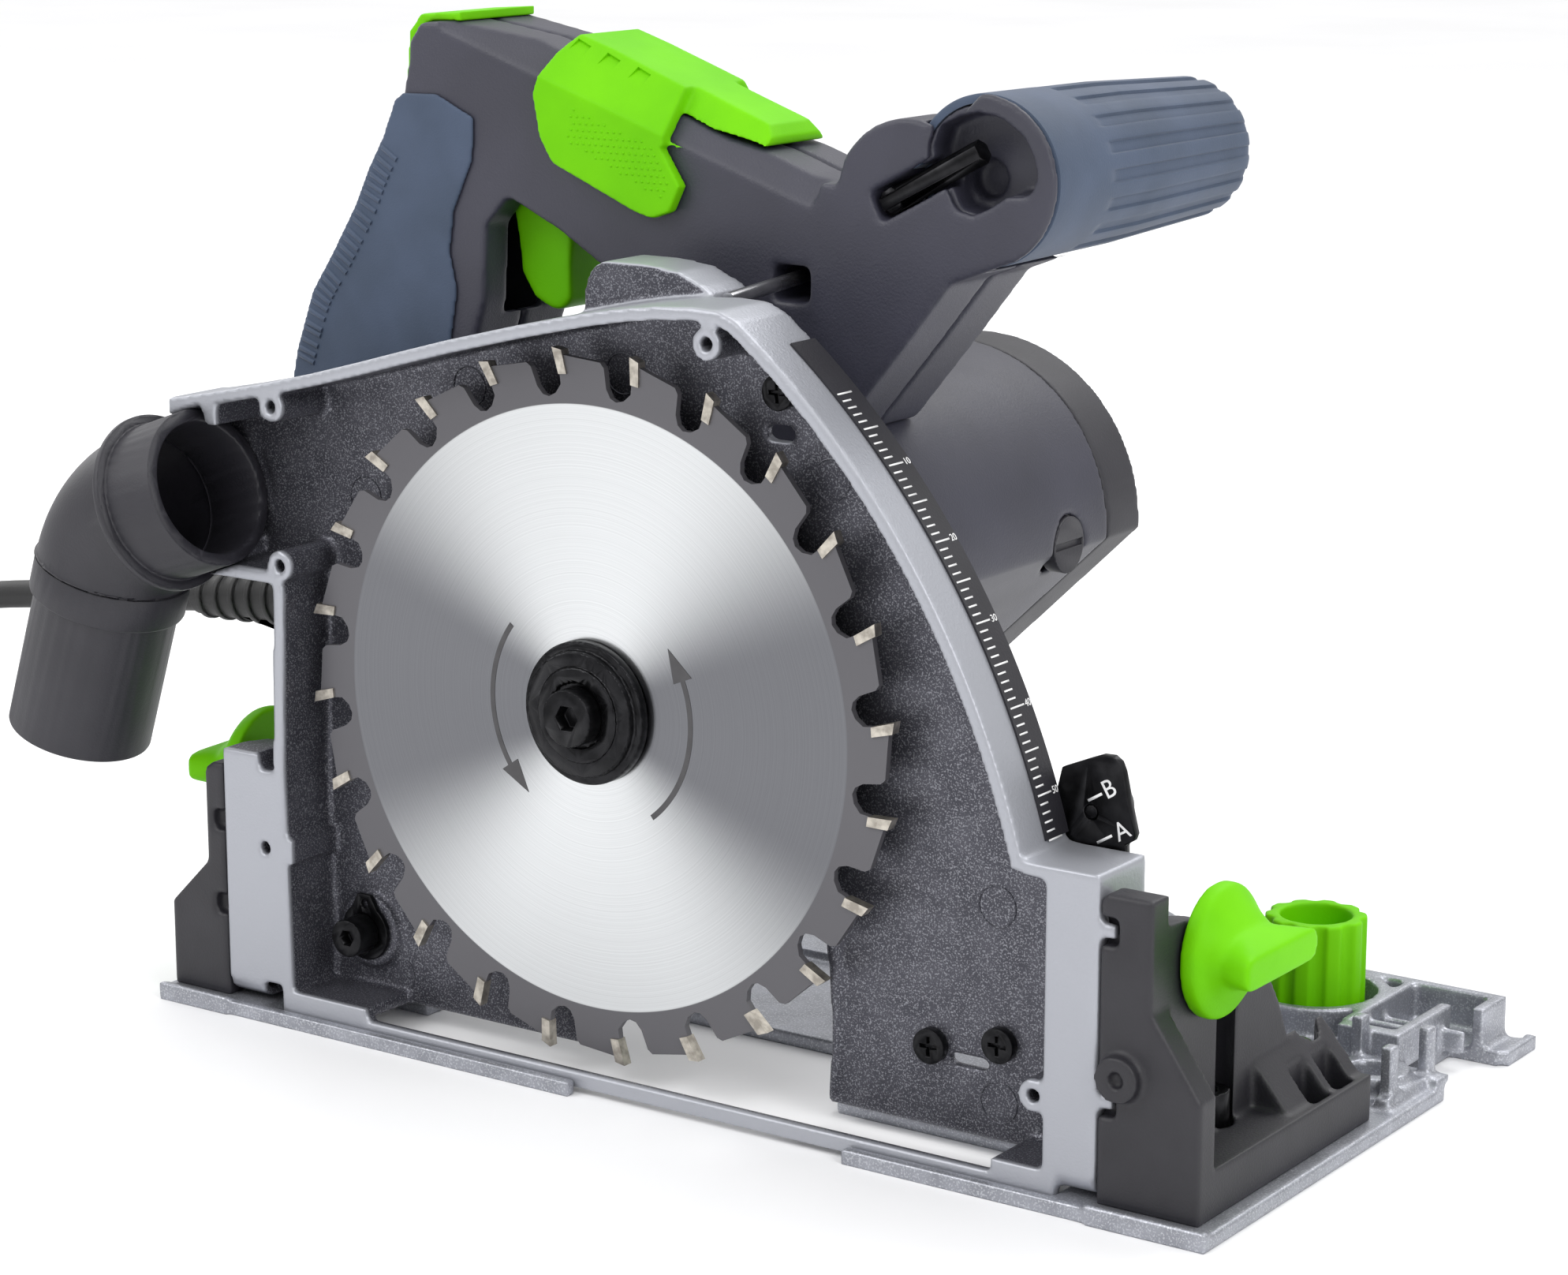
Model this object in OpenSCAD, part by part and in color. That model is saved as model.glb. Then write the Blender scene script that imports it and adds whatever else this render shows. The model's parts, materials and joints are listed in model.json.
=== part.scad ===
// Track plunge saw with a 165 mm blade, shown without its outer blade cover.
// Frame: +X forward along the cut, +Y towards the motor, +Z up. The origin is on the sole,
// in the middle plane of the blade, straight below the arbor of the raised saw head.

/* [Blade] */
// Diameter over the tooth tips
blade_d = 165; // [155:1:165]
// Width of the carbide teeth
kerf = 2.6; // [2:0.1:3]
// Thickness of the steel plate
plate_t = 1.6; // [1.2:0.1:2]
// Number of teeth
teeth = 24; // [12:2:30]
// Bore of the blade
bore_d = 20; // [20:1:30]

/* [Plunge] */
// Height of the arbor above the sole with the head up
arbor_h = 88; // [87.5:0.1:88.5]
// Distance of the plunge pivot behind the arbor
pivot_back = 73; // [72.5:0.1:73.5]
// Height of the plunge pivot above the sole
pivot_h = 22; // [21.5:0.1:22.5]

/* [Guard] */
// Radius of the curved front rim about the plunge pivot
rim_r = 198.6; // [198:0.1:199]
// Thickness of the guard's walls
wall = 3; // [2.5:0.1:3]
// Height of the raised edge of the guard above its back wall
guard_depth = 16.5; // [16:0.1:17]

/* [Base] */
// Length of the base plate
base_l = 291; // [288:1:294]
// Width of the base plate
base_w = 153; // [150:1:156]
// Thickness of the base floor
floor_t = 3.5; // [3:0.1:3.6]

/* [Motor] */
// Radius of the motor housing
motor_r = 44; // [43:0.5:44]
// Wall of the motor housing
motor_wall = 2.5; // [2:0.1:3]
// Teeth of the pinion on the armature shaft
pinion_teeth = 15; // [15]
// Teeth of the gear on the spindle
gear_teeth = 44; // [44]

/* [Handles] */
// Width of the main handle
handle_w = 34; // [32:1:34]
// Radius of the front handle's grip near the head
grip_r = 19; // [18:0.5:19]

/* [Cord] */
// Diameter of the rubber cord
cord_d = 7.5; // [7:0.1:8]

/* [Hidden] */

silver = "#8d8f99";
charcoal = "#3b3b45";
black = "#2a292d";
lime = "#7bdc00";
steel = "#b5b5b8";
soft = "#46535f";

pivot = [-pivot_back, pivot_h];
arbor = [0, arbor_h];
gear_module = 1;
centre_distance = gear_module * (gear_teeth + pinion_teeth) / 2;
motor = [centre_distance * sin(28.35), arbor_h + centre_distance * cos(28.35)];

near_y = -9;
wall_out = near_y + guard_depth + wall;
wall_in = wall_out - wall;
case_y = [12, 45];
housing_y = [45, 130];
cap_y = [130, 157];
handle_mid = 52;
handle_y = [handle_mid - handle_w / 2, handle_mid + handle_w / 2];
bevel_y = -4.5;
bevel_z = 9;
bolt_yz = [16, 55];
lock_r = norm(bolt_yz - [bevel_y, bevel_z]);
lock_a = atan2(bolt_yz[1] - bevel_z, bolt_yz[0] - bevel_y);
bevel_max = 45;
base_x = [-125, base_l - 125];
base_y = [-12, base_w - 12];
fit = 0.05;
gap = 0.3;

// Route of the free cord from the boot to the coil, chosen by hand
cord_route = [
    [-168, 52, 84], [-185, 52, 82], [-205, 51, 80], [-225, 50, 78], [-245, 50, 75],
    [-263, 51, 70], [-280, 57, 63], [-296, 68, 53], [-309, 84, 43], [-318, 99, 34],
    [-328, 112, 24], [-342, 118, 14], [-356, 119, 7], [-370, 116, 4], [-383, 108, 3.75],
    [-392, 97, 3.75], [-398, 84, 3.75], [-399, 70, 3.75]
];
// Route of the short lead from the top of the coil to the plug, chosen by hand
lead_route = [
    [-367, 89, 19], [-376, 83, 23], [-385, 76, 27], [-393, 66, 28], [-399, 54, 30],
    [-400, 43, 33], [-395, 33, 38], [-385, 26, 40], [-372, 22, 41]
];
coil_at = [-350, 60];
coil_mean = 41;
coil_side = 3 * cord_d;
plug_at = [-350, 22, coil_side + 18.5];
cam_places = [[121, 122], [-98, 122]];
groove_y = [100, 116];
groove_d = 4;
ridge_t = 5.8;
post_angles = [100, 215, 25];
flat_d = 31;

// ---------- helpers ----------

function arc(c, r, a0, a1, n) =
    [for (i = [0:n]) c + r * [cos(a0 + (a1 - a0) * i / n), sin(a0 + (a1 - a0) * i / n)]];

function unit(v) = v / norm(v);

// Closed outline moved inwards by d; the points run clockwise when d is positive
function inset(pts, d) = [
    for (i = [0:len(pts) - 1])
        let (n = len(pts),
             a = unit(pts[i] - pts[(i + n - 1) % n]),
             b = unit(pts[(i + 1) % n] - pts[i]),
             na = [a[1], -a[0]], nb = [b[1], -b[0]],
             k = max(0.35, 1 + na * nb))
        pts[i] + d * (na + nb) / k];

// A flat XZ shape given thickness from y0 to y1
module along_y(y0, y1) {
    translate([0, y1, 0]) rotate([90, 0, 0]) linear_extrude(y1 - y0) children();
}

// A flat YZ shape given thickness from x0 to x1
module along_x(x0, x1) {
    translate([x0, 0, 0]) rotate([90, 0, 90]) linear_extrude(x1 - x0) children();
}

module rod_y(c, y0, y1, r, sides = 48) {
    translate([c[0], y1, c[1]]) rotate([90, 0, 0]) cylinder(h = y1 - y0, r = r, $fn = sides);
}

module rod_x(c, x0, x1, r, sides = 48) {
    translate([x0, c[0], c[1]]) rotate([0, 90, 0]) cylinder(h = x1 - x0, r = r, $fn = sides);
}

module rod_z(c, z0, z1, r, sides = 48) {
    translate([c[0], c[1], z0]) cylinder(h = z1 - z0, r = r, $fn = sides);
}

module box(a, b) {
    translate(a) cube(b - a);
}

module box2(a, b) {
    translate(a) square(b - a);
}

// ---------- base ----------

module base_floor() {
    difference() {
        union() {
            box([base_x[0], base_y[0], 0], [base_x[1], base_y[1], floor_t]);
            box([base_x[0], groove_y[0] - 4, 0], [base_x[1], groove_y[1] + 4, ridge_t]);
            box([base_x[1] - 0.5, 129, 0], [base_x[1] + 2, 145, floor_t]);
        }
        box([-93, near_y - gap, -1], [127.7, wall_out + 3.5, 9]);
        box([-62, 5, -1], [57, 46, 9]);
        box([1, base_y[0] - 1, -1], [76, near_y, 9]);
        box([base_x[1] - 12, 102, -1], [base_x[1] + 9, 128, 9]);
    }
}

module base_ribs() {
    box([98, 62, floor_t - 0.1], [101, 141, 12]);
    box([98, 138, floor_t - 0.1], [162, 141, 13]);
    box([98, 60, floor_t - 0.1], [134, 63, 12]);
    box([159, 128, floor_t - 0.1], [162, 141, 13]);
    box([151, 104, floor_t - 0.1], [154, 128, 13]);
    box([138, 100, floor_t - 0.1], [154, 104, 13]);
    box([138, 112, floor_t - 0.1], [152, 114, 11]);
    box([138, 121, floor_t - 0.1], [160, 123, 9]);
    box([137, 104, floor_t - 0.1], [139.5, 139, 13]);
    for (y = [84, 138]) box([-123, y, floor_t - 0.1], [-79, y + 3, 8]);
    box([-82, 84, floor_t - 0.1], [-79, 141, 8]);
    box([-123, 84, floor_t - 0.1], [-120, 141, 8]);
    for (x = [-60, -20, 20, 60]) box([x, 125, floor_t - 0.1], [x + 2, 141, floor_t + 0.4]);
}

module screw_ring() {
    rod_z([152, 90], floor_t - 0.1, 8, 9);
    for (p = [[143.5, 96], [160, 97], [159, 80]])
        box([p[0], p[1], floor_t - 0.1], [p[0] + 3, p[1] + 4, 17]);
}

module edge_steps() {
    box([159, 77, floor_t - 0.1], [163, 100, 6]);
    box([base_x[0], base_y[0] - 1, 0], [-103, base_y[0] + 1, 4.5]);
    box([137, base_y[0] - 1, 0], [base_x[1], base_y[0] + 1, 4.5]);
}

module base_plate() {
    color(silver) difference() {
        union() {
            base_floor();
            base_ribs();
            for (c = cam_places) rod_z(c, 0, 13, 18);
            screw_ring();
            edge_steps();
        }
        for (c = cam_places) {
            rod_z(c, -1, 14, 3 + fit);
            rod_z(c, 6.5, 14, 15);
            rod_z(c, -1, 3.6, 7.5);
        }
        rod_z([152, 90], -1, 9, 5);
        box([base_x[0] - 1, groove_y[0], -1], [base_x[1] + 9, groove_y[1], groove_d]);
        for (p = bracket_holes) rod_z(p, -1, 9, 2);
    }
}

bracket_holes = [[146, 24], [146, 62], [-112, 26], [-112, 62]];

// Side outline of a bracket as seen from the blade side
function front_near_face() =
    [[137.8, floor_t], [137.8, 69.5], [139, 71], [150, 71], [150, 47], [162, 30], [162, floor_t]];

module quadrant(x0, x1, r) {
    along_x(x0, x1) difference() {
        intersection() {
            translate([bevel_y, floor_t]) circle(r = r, $fn = 96);
            polygon([[near_y, floor_t], [near_y, 71], [14, 71], [24, 66], [70, 40], [70, floor_t]]);
        }
        translate(bolt_yz) circle(r = 3 + fit, $fn = 32);
    }
}

module front_bracket() {
    color(black) difference() {
        union() {
            quadrant(144, 150, 61);
            along_y(near_y, near_y + 7) polygon(front_near_face());
            box([138, near_y + 1, floor_t], [162, 70, 14]);
            box([138, 70, floor_t], [158, 76, 10]);
            rod_y([143.5, 32.5], near_y - 3, near_y + 1, 5);
            along_y(36, 70) polygon([[149, 13], [149, 26], [160, 13]]);
        }
        rod_x([bevel_y, bevel_z], 137, 149, 2.5);
        for (z = [23, 60]) box([136, near_y - 1, z], [142, near_y + 3, z + 6]);
        for (p = [[146, 24], [146, 62]]) {
            rod_z(p, 3, 30, 2.2);
            rod_z(p, 12, 40, 5.5);
        }
        box([153, 46, 6], [160, 54, 30]);
        box([153, 57, 6], [160, 65, 30]);
        rod_y([143.5, 32.5], near_y - 4, near_y - 1, 2, 6);
    }
}

function rear_near_face() =
    [[-105.3, floor_t], [-105.3, 61.6], [-109, 61.6], [-111, 60], [-111, 36.8], [-123.3, 24.7],
     [-123.3, floor_t]];

module rear_bracket() {
    color(black) difference() {
        union() {
            translate([-255.3, 0, 0]) quadrant(144, 150, 56);
            along_y(near_y, near_y + 6) polygon(rear_near_face());
            box([-123, near_y + 1, floor_t], [-105.3, 70, 11]);
        }
        rod_x([bevel_y, bevel_z], -110, -104, 2.5);
        for (z = [24, 45]) box([-109, near_y - 1, z], [-104, near_y + 3, z + 5]);
        for (p = [[-112, 26], [-112, 62]]) {
            rod_z(p, 3, 20, 2.2);
            rod_z(p, 9, 20, 5.2);
        }
    }
}

module cap_screw(c, z, length) {
    difference() {
        union() {
            rod_z(c, z, z + 9, 4.6);
            rod_z(c, z - length, z + 0.5, 2);
        }
        rod_z(c, z + 4, z + 10, 2.3, 6);
    }
}

module bracket_screws() {
    color(black) {
        for (p = [[146, 24], [146, 62]]) cap_screw(p, 12, 10);
        for (p = [[-112, 26], [-112, 62]]) cap_screw(p, 9, 8);
    }
}

module bevel_pins() {
    color(steel) {
        rod_x([bevel_y, bevel_z], 129, 149, 2.5);
        rod_x([bevel_y, bevel_z], -110, -98, 2.5);
    }
}

module lock_bolts() {
    color(steel) {
        rod_x(bolt_yz, 125, 162, 3);
        rod_x(bolt_yz, 122, 125.4, 5);
        rod_x(bolt_yz, -122, -92, 3);
        rod_x(bolt_yz, -92.4, -89, 5);
    }
}

// Rounded section of a knob, dx along its axis, half a wide and half b high
module knob_section(dx, a, b) {
    translate([dx, bolt_yz[0], bolt_yz[1]]) rotate([90, 0, 90])
        linear_extrude(0.5) scale([a, b]) circle(r = 1, $fn = 48);
}

// Round flange that sweeps into a wing for the fingers
module wing_knob(x0, dir) {
    difference() {
        translate([x0, 0, 0]) mirror([dir < 0 ? 1 : 0, 0, 0]) {
            rod_x(bolt_yz, 0, 3.4, 14.6);
            hull() {
                knob_section(3.2, 14.4, 14.2);
                knob_section(5.4, 12.8, 10.6);
            }
            hull() {
                knob_section(5.4, 12.8, 10.6);
                knob_section(8.6, 12.4, 6.4);
            }
            hull() {
                knob_section(8.6, 12.4, 6.4);
                along_x(15.4, 16) offset(r = 2, $fn = 24)
                    polygon([[4, 53.6], [4, 56.4], [31, 56.4], [31, 53.6]]);
            }
        }
        rod_x(bolt_yz, min(x0 - 1, x0 + dir * 12), max(x0 + 1, x0 + dir * 12), 3 + fit);
    }
}

module front_bevel_knob() {
    color(lime) wing_knob(150.3, 1);
}

module rear_bevel_knob() {
    color(lime) wing_knob(-111.6, -1);
}

// Fluted knob on an eccentric foot that takes up the play on the guide rail
module rail_cam(c) {
    flutes = 10;
    difference() {
        rod_z(c, 6.8, 31, 12);
        rod_z(c, 22, 32, 8.5);
        for (i = [0:flutes - 1])
            translate([c[0], c[1], 0]) rotate(i * 360 / flutes + 12)
                translate([13.2, 0, 5]) cylinder(h = 27, r = 2.4, $fn = 24);
    }
    rod_z(c, 3, 7, 3);
    rod_z(c + [1.5, 0], 0.4, 3.2, 5);
}

module front_rail_cam() {
    color(lime) rail_cam(cam_places[0]);
}

module rear_rail_cam() {
    color(lime) rail_cam(cam_places[1]);
}

// ---------- guard ----------

guard_outline = concat(
    [[-119, 149], [-104, 152], [-89, 155.3], [-74, 159], [-60, 162.8], [-47, 166.5], [-34, 170.1],
     [-14, 175.1], [6, 179.6], [16, 181.4], [25, 182.6], [34, 183.2], [41, 183]],
    [[46, 181]],
    arc(pivot, rim_r, 50.8, 15.5, 40),
    [[123, 74.5], [127.5, 74.5], [127.5, 5], [-88, 5], [-89, 64], [-87.5, 106], [-88, 108], [-119, 108]]);

boss_places = [[38.3, 175.5], [-86.7, 150], [-85.3, 112.5], [-92.4, 42.8], [122, 24]];

module wall_window() {
    polygon(concat(arc(pivot, 134, -9, 60, 24), arc(pivot, 64, 62, -12, 16), [[-10, -5], [58, -5]]));
}

module lock_plate(x0, x1) {
    along_x(x0, x1) difference() {
        union() {
            intersection() {
                translate([bevel_y, bevel_z]) circle(r = lock_r + 6.5, $fn = 96);
                polygon([[near_y, bevel_z], [near_y, 74], [20, 74], [80, 40], [60, 7], [wall_out, 4.6],
                         [bevel_y, 4.6]]);
            }
            translate([bevel_y, bevel_z]) circle(r = 4.4, $fn = 48);
        }
        translate([bevel_y, bevel_z]) circle(r = 2.5 + fit, $fn = 48);
        polygon(concat(
            arc([bevel_y, bevel_z], lock_r + 3.4, lock_a + 4.5, lock_a - bevel_max - 4.5, 16),
            arc([bevel_y, bevel_z], lock_r - 3.4, lock_a - bevel_max - 4.5, lock_a + 4.5, 16)));
    }
}

module catch_lobe() {
    along_y(wall_out - 1, 24) polygon(concat(
        [[-8.3, 172], [-8.3, 181]], arc([-1, 181.5], 7, 165, 95, 4), [[8, 188.5], [17, 187.5]],
        [[24, 184.6], [26.5, 183], [27, 172]]));
}

module guard_casting() {
    color(silver) difference() {
        union() {
            along_y(wall_in, wall_out) difference() {
                polygon(guard_outline);
                wall_window();
            }
            along_y(near_y, wall_out) difference() {
                polygon(guard_outline);
                polygon(inset(guard_outline, wall));
                box2([-62, -1], [112, 9]);
            }
            box([-88, near_y, 1.2], [127.5, near_y + 3, 5.1]);
            for (x = [-88, 118]) box([x, near_y, 1.2], [x + 8, near_y + 6, 5.1]);
            along_y(wall_out - 4.5, wall_out) difference() {
                polygon(concat(arc(pivot, 136.5, -6, 60, 24), arc(pivot, 134, 60, -7, 24)));
                box2([0, -5], [70, 5]);
            }
            for (p = boss_places) rod_y(p, near_y, wall_in + 1, 3.6);
            along_y(near_y, wall_in + 1) polygon([[-91, 40], [-84, 40], [-84, 46], [-91, 46]]);
            lock_plate(128, 137.5);
            box([127.4, near_y, bevel_z], [137.5, wall_out, 74.5]);
            lock_plate(-105, -94);
            box([-94.1, near_y, bevel_z], [-86, wall_out, 62]);
            rod_y(pivot, wall_in - 2, wall_out + 1, 9);
            catch_lobe();
            for (z = [24.4, 61.4]) box([137.4, near_y + 0.3, z], [140.9, near_y + 2.6, z + 3.2]);
            box([-119, near_y, 108], [-104, wall_out, 115]);
            box([-119, near_y, 144], [-104, wall_out, 149.5]);
        }
        for (p = boss_places) rod_y(p, near_y - 1, wall_in - 1, 1.65);
        rod_y(pivot, wall_in - 4, wall_out + 3, 4);
        rod_x([bevel_y, bevel_z], 126, 141, 2.5 + fit);
        rod_x([bevel_y, bevel_z], -108, -91, 2.5 + fit);
        rod_y(arbor, -4, 4, blade_d / 2 + 1.7, 96);
        sleeve_cut();
        for (s = screw_places) rod_y(s, wall_in - 1, wall_out + 1, 1.9);
        box([42.6, wall_in - 1, 153], [50, wall_out + 1, 156.5]);
        box([91, wall_in - 1, 20.5], [101, wall_out + 1, 23]);
    }
}

screw_places = [[47, 164], [87, 24], [104.5, 27.5]];

module depth_scale() {
    color(black) along_y(1.5, wall_out) polygon(concat(
        arc(pivot, rim_r + 0.5, 50.6, 15.9, 60), arc(pivot, rim_r + 0.02, 15.9, 50.6, 60)));
}

module guard_screws() {
    color(black) for (s = screw_places) difference() {
        union() {
            rod_y(s, wall_in - 2.2, wall_in, 4);
            rod_y(s, wall_in - 0.5, wall_out, 1.9);
        }
        box([s[0] - 2.2, wall_in - 3, s[1] - 0.45], [s[0] + 2.2, wall_in - 1, s[1] + 0.45]);
        box([s[0] - 0.45, wall_in - 3, s[1] - 2.2], [s[0] + 0.45, wall_in - 1, s[1] + 2.2]);
    }
}

module pivot_pin() {
    color(black) difference() {
        union() {
            rod_y(pivot, -2.5, 4, 4.6);
            rod_y(pivot, 3.5, 33, 4);
            rod_y(pivot, 33, 35, 6);
        }
        rod_y(pivot, -3, 0.5, 2, 6);
    }
}

module pivot_clip() {
    color(black) difference() {
        along_y(4.2, wall_in - 2.1) union() {
            translate(pivot) circle(r = 7, $fn = 48);
            polygon([pivot + [-5, 4], pivot + [5, 4], pivot + [2, 9.4], pivot + [-2, 9.4]]);
        }
        rod_y(pivot, 3, 6, 4 + fit);
        rod_y(pivot + [0, 7], 3, 6, 1);
    }
}

stop_screw = pivot + 205 * [cos(16.8), sin(16.8)];

// Dark plate behind the rim that carries the two depth marks
module depth_stop() {
    color(black) along_y(wall_out + 0.8, wall_out + 3) difference() {
        polygon([[110, 65], [132.3, 65], [131.8, 72], [131.7, 75.4], [133.5, 76.6], [134, 78], [132.3, 84.6],
                 [130.8, 91], [129.9, 93], [128.2, 94.1], [125.6, 94], [122.3, 92.7], [116, 90]]);
        translate(stop_screw) circle(r = 1.7, $fn = 24);
    }
}

module depth_stop_clamp() {
    color(black) {
        rod_y(stop_screw, wall_out + 0.9, wall_out + 3.1, 1.6);
        rod_y(stop_screw, wall_out + 3, wall_out + 10, 5.5);
    }
}

elbow_in = [-cos(20), 0, -sin(20)];
elbow_out = [-sin(18), 0, -cos(18)];
elbow_at = [-105, -10.5, 129.5];
elbow_leg = 29.8;
elbow_drop = 58;
spigot_l = 36;
bend_r = 28;

// Cylinder of radius r from point a along direction d, which lies in the XZ plane
module leg(a, d, l, r) {
    translate(a) rotate([0, atan2(d[0], d[2]), 0]) cylinder(h = l, r = r, $fn = 72);
}

module sleeve_cut() {
    leg(elbow_at - 3 * elbow_in, elbow_in, 30, 19 + gap);
    leg(elbow_at + 14.3 * elbow_in, elbow_in, 30, 22.5);
}

module pipe(a, d, l, r, r_in) {
    difference() {
        leg(a, d, l, r);
        leg(a - d, d, l + 2, r_in);
    }
}

module dust_elbow() {
    corner = elbow_at + elbow_leg * elbow_in;
    tangent = bend_r * tan(26);
    bend_c = corner - tangent * elbow_in + bend_r * [sin(20), 0, -cos(20)];
    lap = 0.5;
    color(black) {
        pipe(elbow_at, elbow_in, elbow_leg - tangent + lap, 19, 16);
        pipe(elbow_at + 14.8 * elbow_in, elbow_in, 2, 21.5, 17.5);
        translate(bend_c) rotate([90, 0, 0]) rotate([0, 0, 110])
            rotate_extrude(angle = 52, $fn = 60) translate([bend_r, 0]) difference() {
                circle(r = 18.8, $fn = 48);
                circle(r = 16.2, $fn = 48);
            }
        pipe(corner + (tangent - lap) * elbow_out, elbow_out, elbow_drop - spigot_l - tangent + lap, 19, 16);
        pipe(corner + (elbow_drop - spigot_l - lap) * elbow_out, elbow_out, spigot_l + lap, 17.5, 15.4);
    }
}

// ---------- saw head ----------

module motor_outline(r, flat) {
    difference() {
        translate(motor) circle(r = r, $fn = 96);
        translate(motor) rotate(-46.7) translate([flat, -60]) square([40, 120]);
    }
}

module case_arm() {
    u = unit(arbor - pivot);
    n = [-u[1], u[0]];
    polygon([pivot + 9 * n, pivot - 9 * n, arbor - 23 * n, arbor + 23 * n]);
}

module gear_case() {
    color(charcoal) difference() {
        union() {
            along_y(case_y[0], 38) {
                translate(arbor) circle(r = 25.8, $fn = 96);
                translate(motor) circle(r = 24, $fn = 72);
            }
            along_y(case_y[0], 30) {
                case_arm();
                translate(pivot) circle(r = 10, $fn = 48);
            }
            along_y(37, case_y[1]) {
                motor_outline(motor_r - 1, flat_d - 0.5);
                translate(arbor) circle(r = 25.8, $fn = 96);
            }
            rod_y(arbor, wall_out - 2.5, case_y[0] + 1, 20);
        }
        rod_y(pivot, 8, 35, 4 + fit);
        rod_y(pivot, 20, 31, 7.5);
        rod_y(arbor, 20, 36, 23.6);
        rod_y(motor, 20, 46, 12);
        rod_y(arbor, 9.9, 21, 16);
        rod_y(arbor, 7, 12, 12);
        rod_y(arbor, 35, 43, 11);
        rod_y(motor, 14, 21, 8);
    }
}

module ring_y(c, y0, y1, r, r_in) {
    difference() {
        rod_y(c, y0, y1, r);
        rod_y(c, y0 - 1, y1 + 1, r_in);
    }
}

// A few turns of spring wire round the pivot, each turn a closed ring
module pivot_spring() {
    color(steel) for (i = [0:3])
        translate([pivot[0], 21.2 + i * 2.2, pivot[1]]) rotate([90, 0, 0])
            rotate_extrude($fn = 48) translate([5.6, 0]) circle(r = 0.9, $fn = 16);
}

module spindle_bearings() {
    color(steel) {
        ring_y(arbor, 10.2, 20, 16, 6 + fit);
        ring_y(arbor, 35.5, 43, 11, 6 + fit);
    }
}

module motor_housing() {
    color(charcoal) {
        difference() {
            along_y(housing_y[0] + 0.1, housing_y[1]) difference() {
                motor_outline(motor_r, flat_d);
                motor_outline(motor_r - motor_wall, flat_d - motor_wall);
            }
            rod_x([112, motor[1]], motor[0] - 60, motor[0] + 60, 7);
        }
        difference() {
            for (a = post_angles) translate([motor[0], 0, motor[1]]) rotate([0, -a, 0])
                box([28.2, 62, -4], [motor_r - motor_wall + 0.3, housing_y[1], 4]);
            for (a = post_angles) rod_y(motor + 37 * [cos(a), sin(a)], 117, 131, 1.7);
        }
    }
}

module motor_end_cap() {
    vent_count = 9;
    color(black) {
        difference() {
            union() {
                along_y(cap_y[0] + 0.1, 146) motor_outline(motor_r - 0.3, flat_d - 0.2);
                along_y(146, 152) motor_outline(motor_r - 4, flat_d - 3.5);
                along_y(152, cap_y[1]) motor_outline(motor_r - 9, flat_d - 7);
            }
            along_y(cap_y[0] - 1, 144) motor_outline(motor_r - 3.3, flat_d - 3);
            along_y(143, 150) motor_outline(motor_r - 7, flat_d - 6);
            for (i = [0:vent_count - 1])
                box([motor[0] - 22 + i * 5, 149, 98], [motor[0] - 19.5 + i * 5, 160, 132]);
            for (a = post_angles) {
                rod_y(motor + 37 * [cos(a), sin(a)], 128, 150, 1.7);
                rod_y(motor + 37 * [cos(a), sin(a)], 146, 158, 3.4);
            }
        }
        difference() {
            rod_y(motor, 137, 151, 12);
            rod_y(motor, 136, 144, 9);
        }
        for (a = post_angles) ring_y(motor + 37 * [cos(a), sin(a)], cap_y[0] + 0.1, 145, 3.6, 1.7);
    }
}

module cap_screws() {
    color(steel) for (a = post_angles) {
        rod_y(motor + 37 * [cos(a), sin(a)], 146, 148.5, 3.2);
        rod_y(motor + 37 * [cos(a), sin(a)], 118, 146.5, 1.7);
    }
}

module armature_bearings() {
    color(steel) {
        ring_y(motor, 14.2, 19.8, 8, 4 + fit);
        ring_y(motor, 137, 143.9, 9, 4 + fit);
    }
}

module stator() {
    color("#77736c") {
        ring_y(motor, 62, 100, 28, 21.2);
        ring_y(motor, 99.9, 104, 26.5, 22.5);
        ring_y(motor, 58, 62.1, 26.5, 22.5);
    }
}

module brushes() {
    color("#8a6a3a") for (s = [-1, 1]) {
        translate([motor[0] + s * 26, 112, motor[1]]) cube([26, 9, 7], center = true);
    }
}

module brush_caps() {
    color(black) for (s = [-1, 1]) difference() {
        rod_x([112, motor[1]], motor[0] + min(s * 39.5, s * 43.7), motor[0] + max(s * 39.5, s * 43.7), 6.9);
        box([motor[0] + s * 44 - 1.2, 106, motor[1] - 0.8], [motor[0] + s * 44 + 1.2, 118, motor[1] + 0.8]);
    }
}

handle_outline = concat(
    [[-126, 80], [-127.5, 90], [-126, 108], [-121, 132], [-115, 156], [-109.5, 170], [-102, 181.5],
     [-95, 192.5], [-90.5, 201.5], [-86, 209], [-82, 218], [-80, 226], [-79.2, 232], [-76, 236.4],
     [-68, 237], [-45, 233.5], [-34, 229.5], [-10, 221], [10, 213.5], [21, 211], [33, 206.8],
     [42, 205.5]],
    arc([60.5, 202], 19.2, 150, 60, 8),
    arc([79, 208.6], 19, 90, -60, 12),
    [[72, 186], [60, 171], [43, 150.5]],
    arc(motor, motor_r + 0.4, 52, 184, 36),
    [[-31, 100], [-31, 84], [-35, 80]]);

finger_hole = concat(
    [[-50.4, 197], [-57, 190], [-58, 172], [-64, 152], [-72, 131], [-67, 119], [-58, 115.5], [-46, 117]],
    arc(motor, motor_r + 7, 170, 112, 12),
    [[0, 166], [-2, 172], [-12, 178], [-24, 183.5], [-35.5, 190.3]]);

// Everything outside the sloping shoulders of the top bar, set in by d from the saddle's own
module shoulders(d) {
    for (s = [0, 1])
        translate([-34, handle_mid, 224.6]) mirror([0, s, 0])
            translate([0, handle_y[0] - 3.5 - handle_mid, 0]) rotate([0, 18.3, 0]) rotate([48, 0, 0])
                translate([-38, -30, -d]) cube([112, 70, 40]);
}

module handle_shape() {
    difference() {
        polygon(handle_outline);
        polygon(finger_hole);
    }
}

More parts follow.
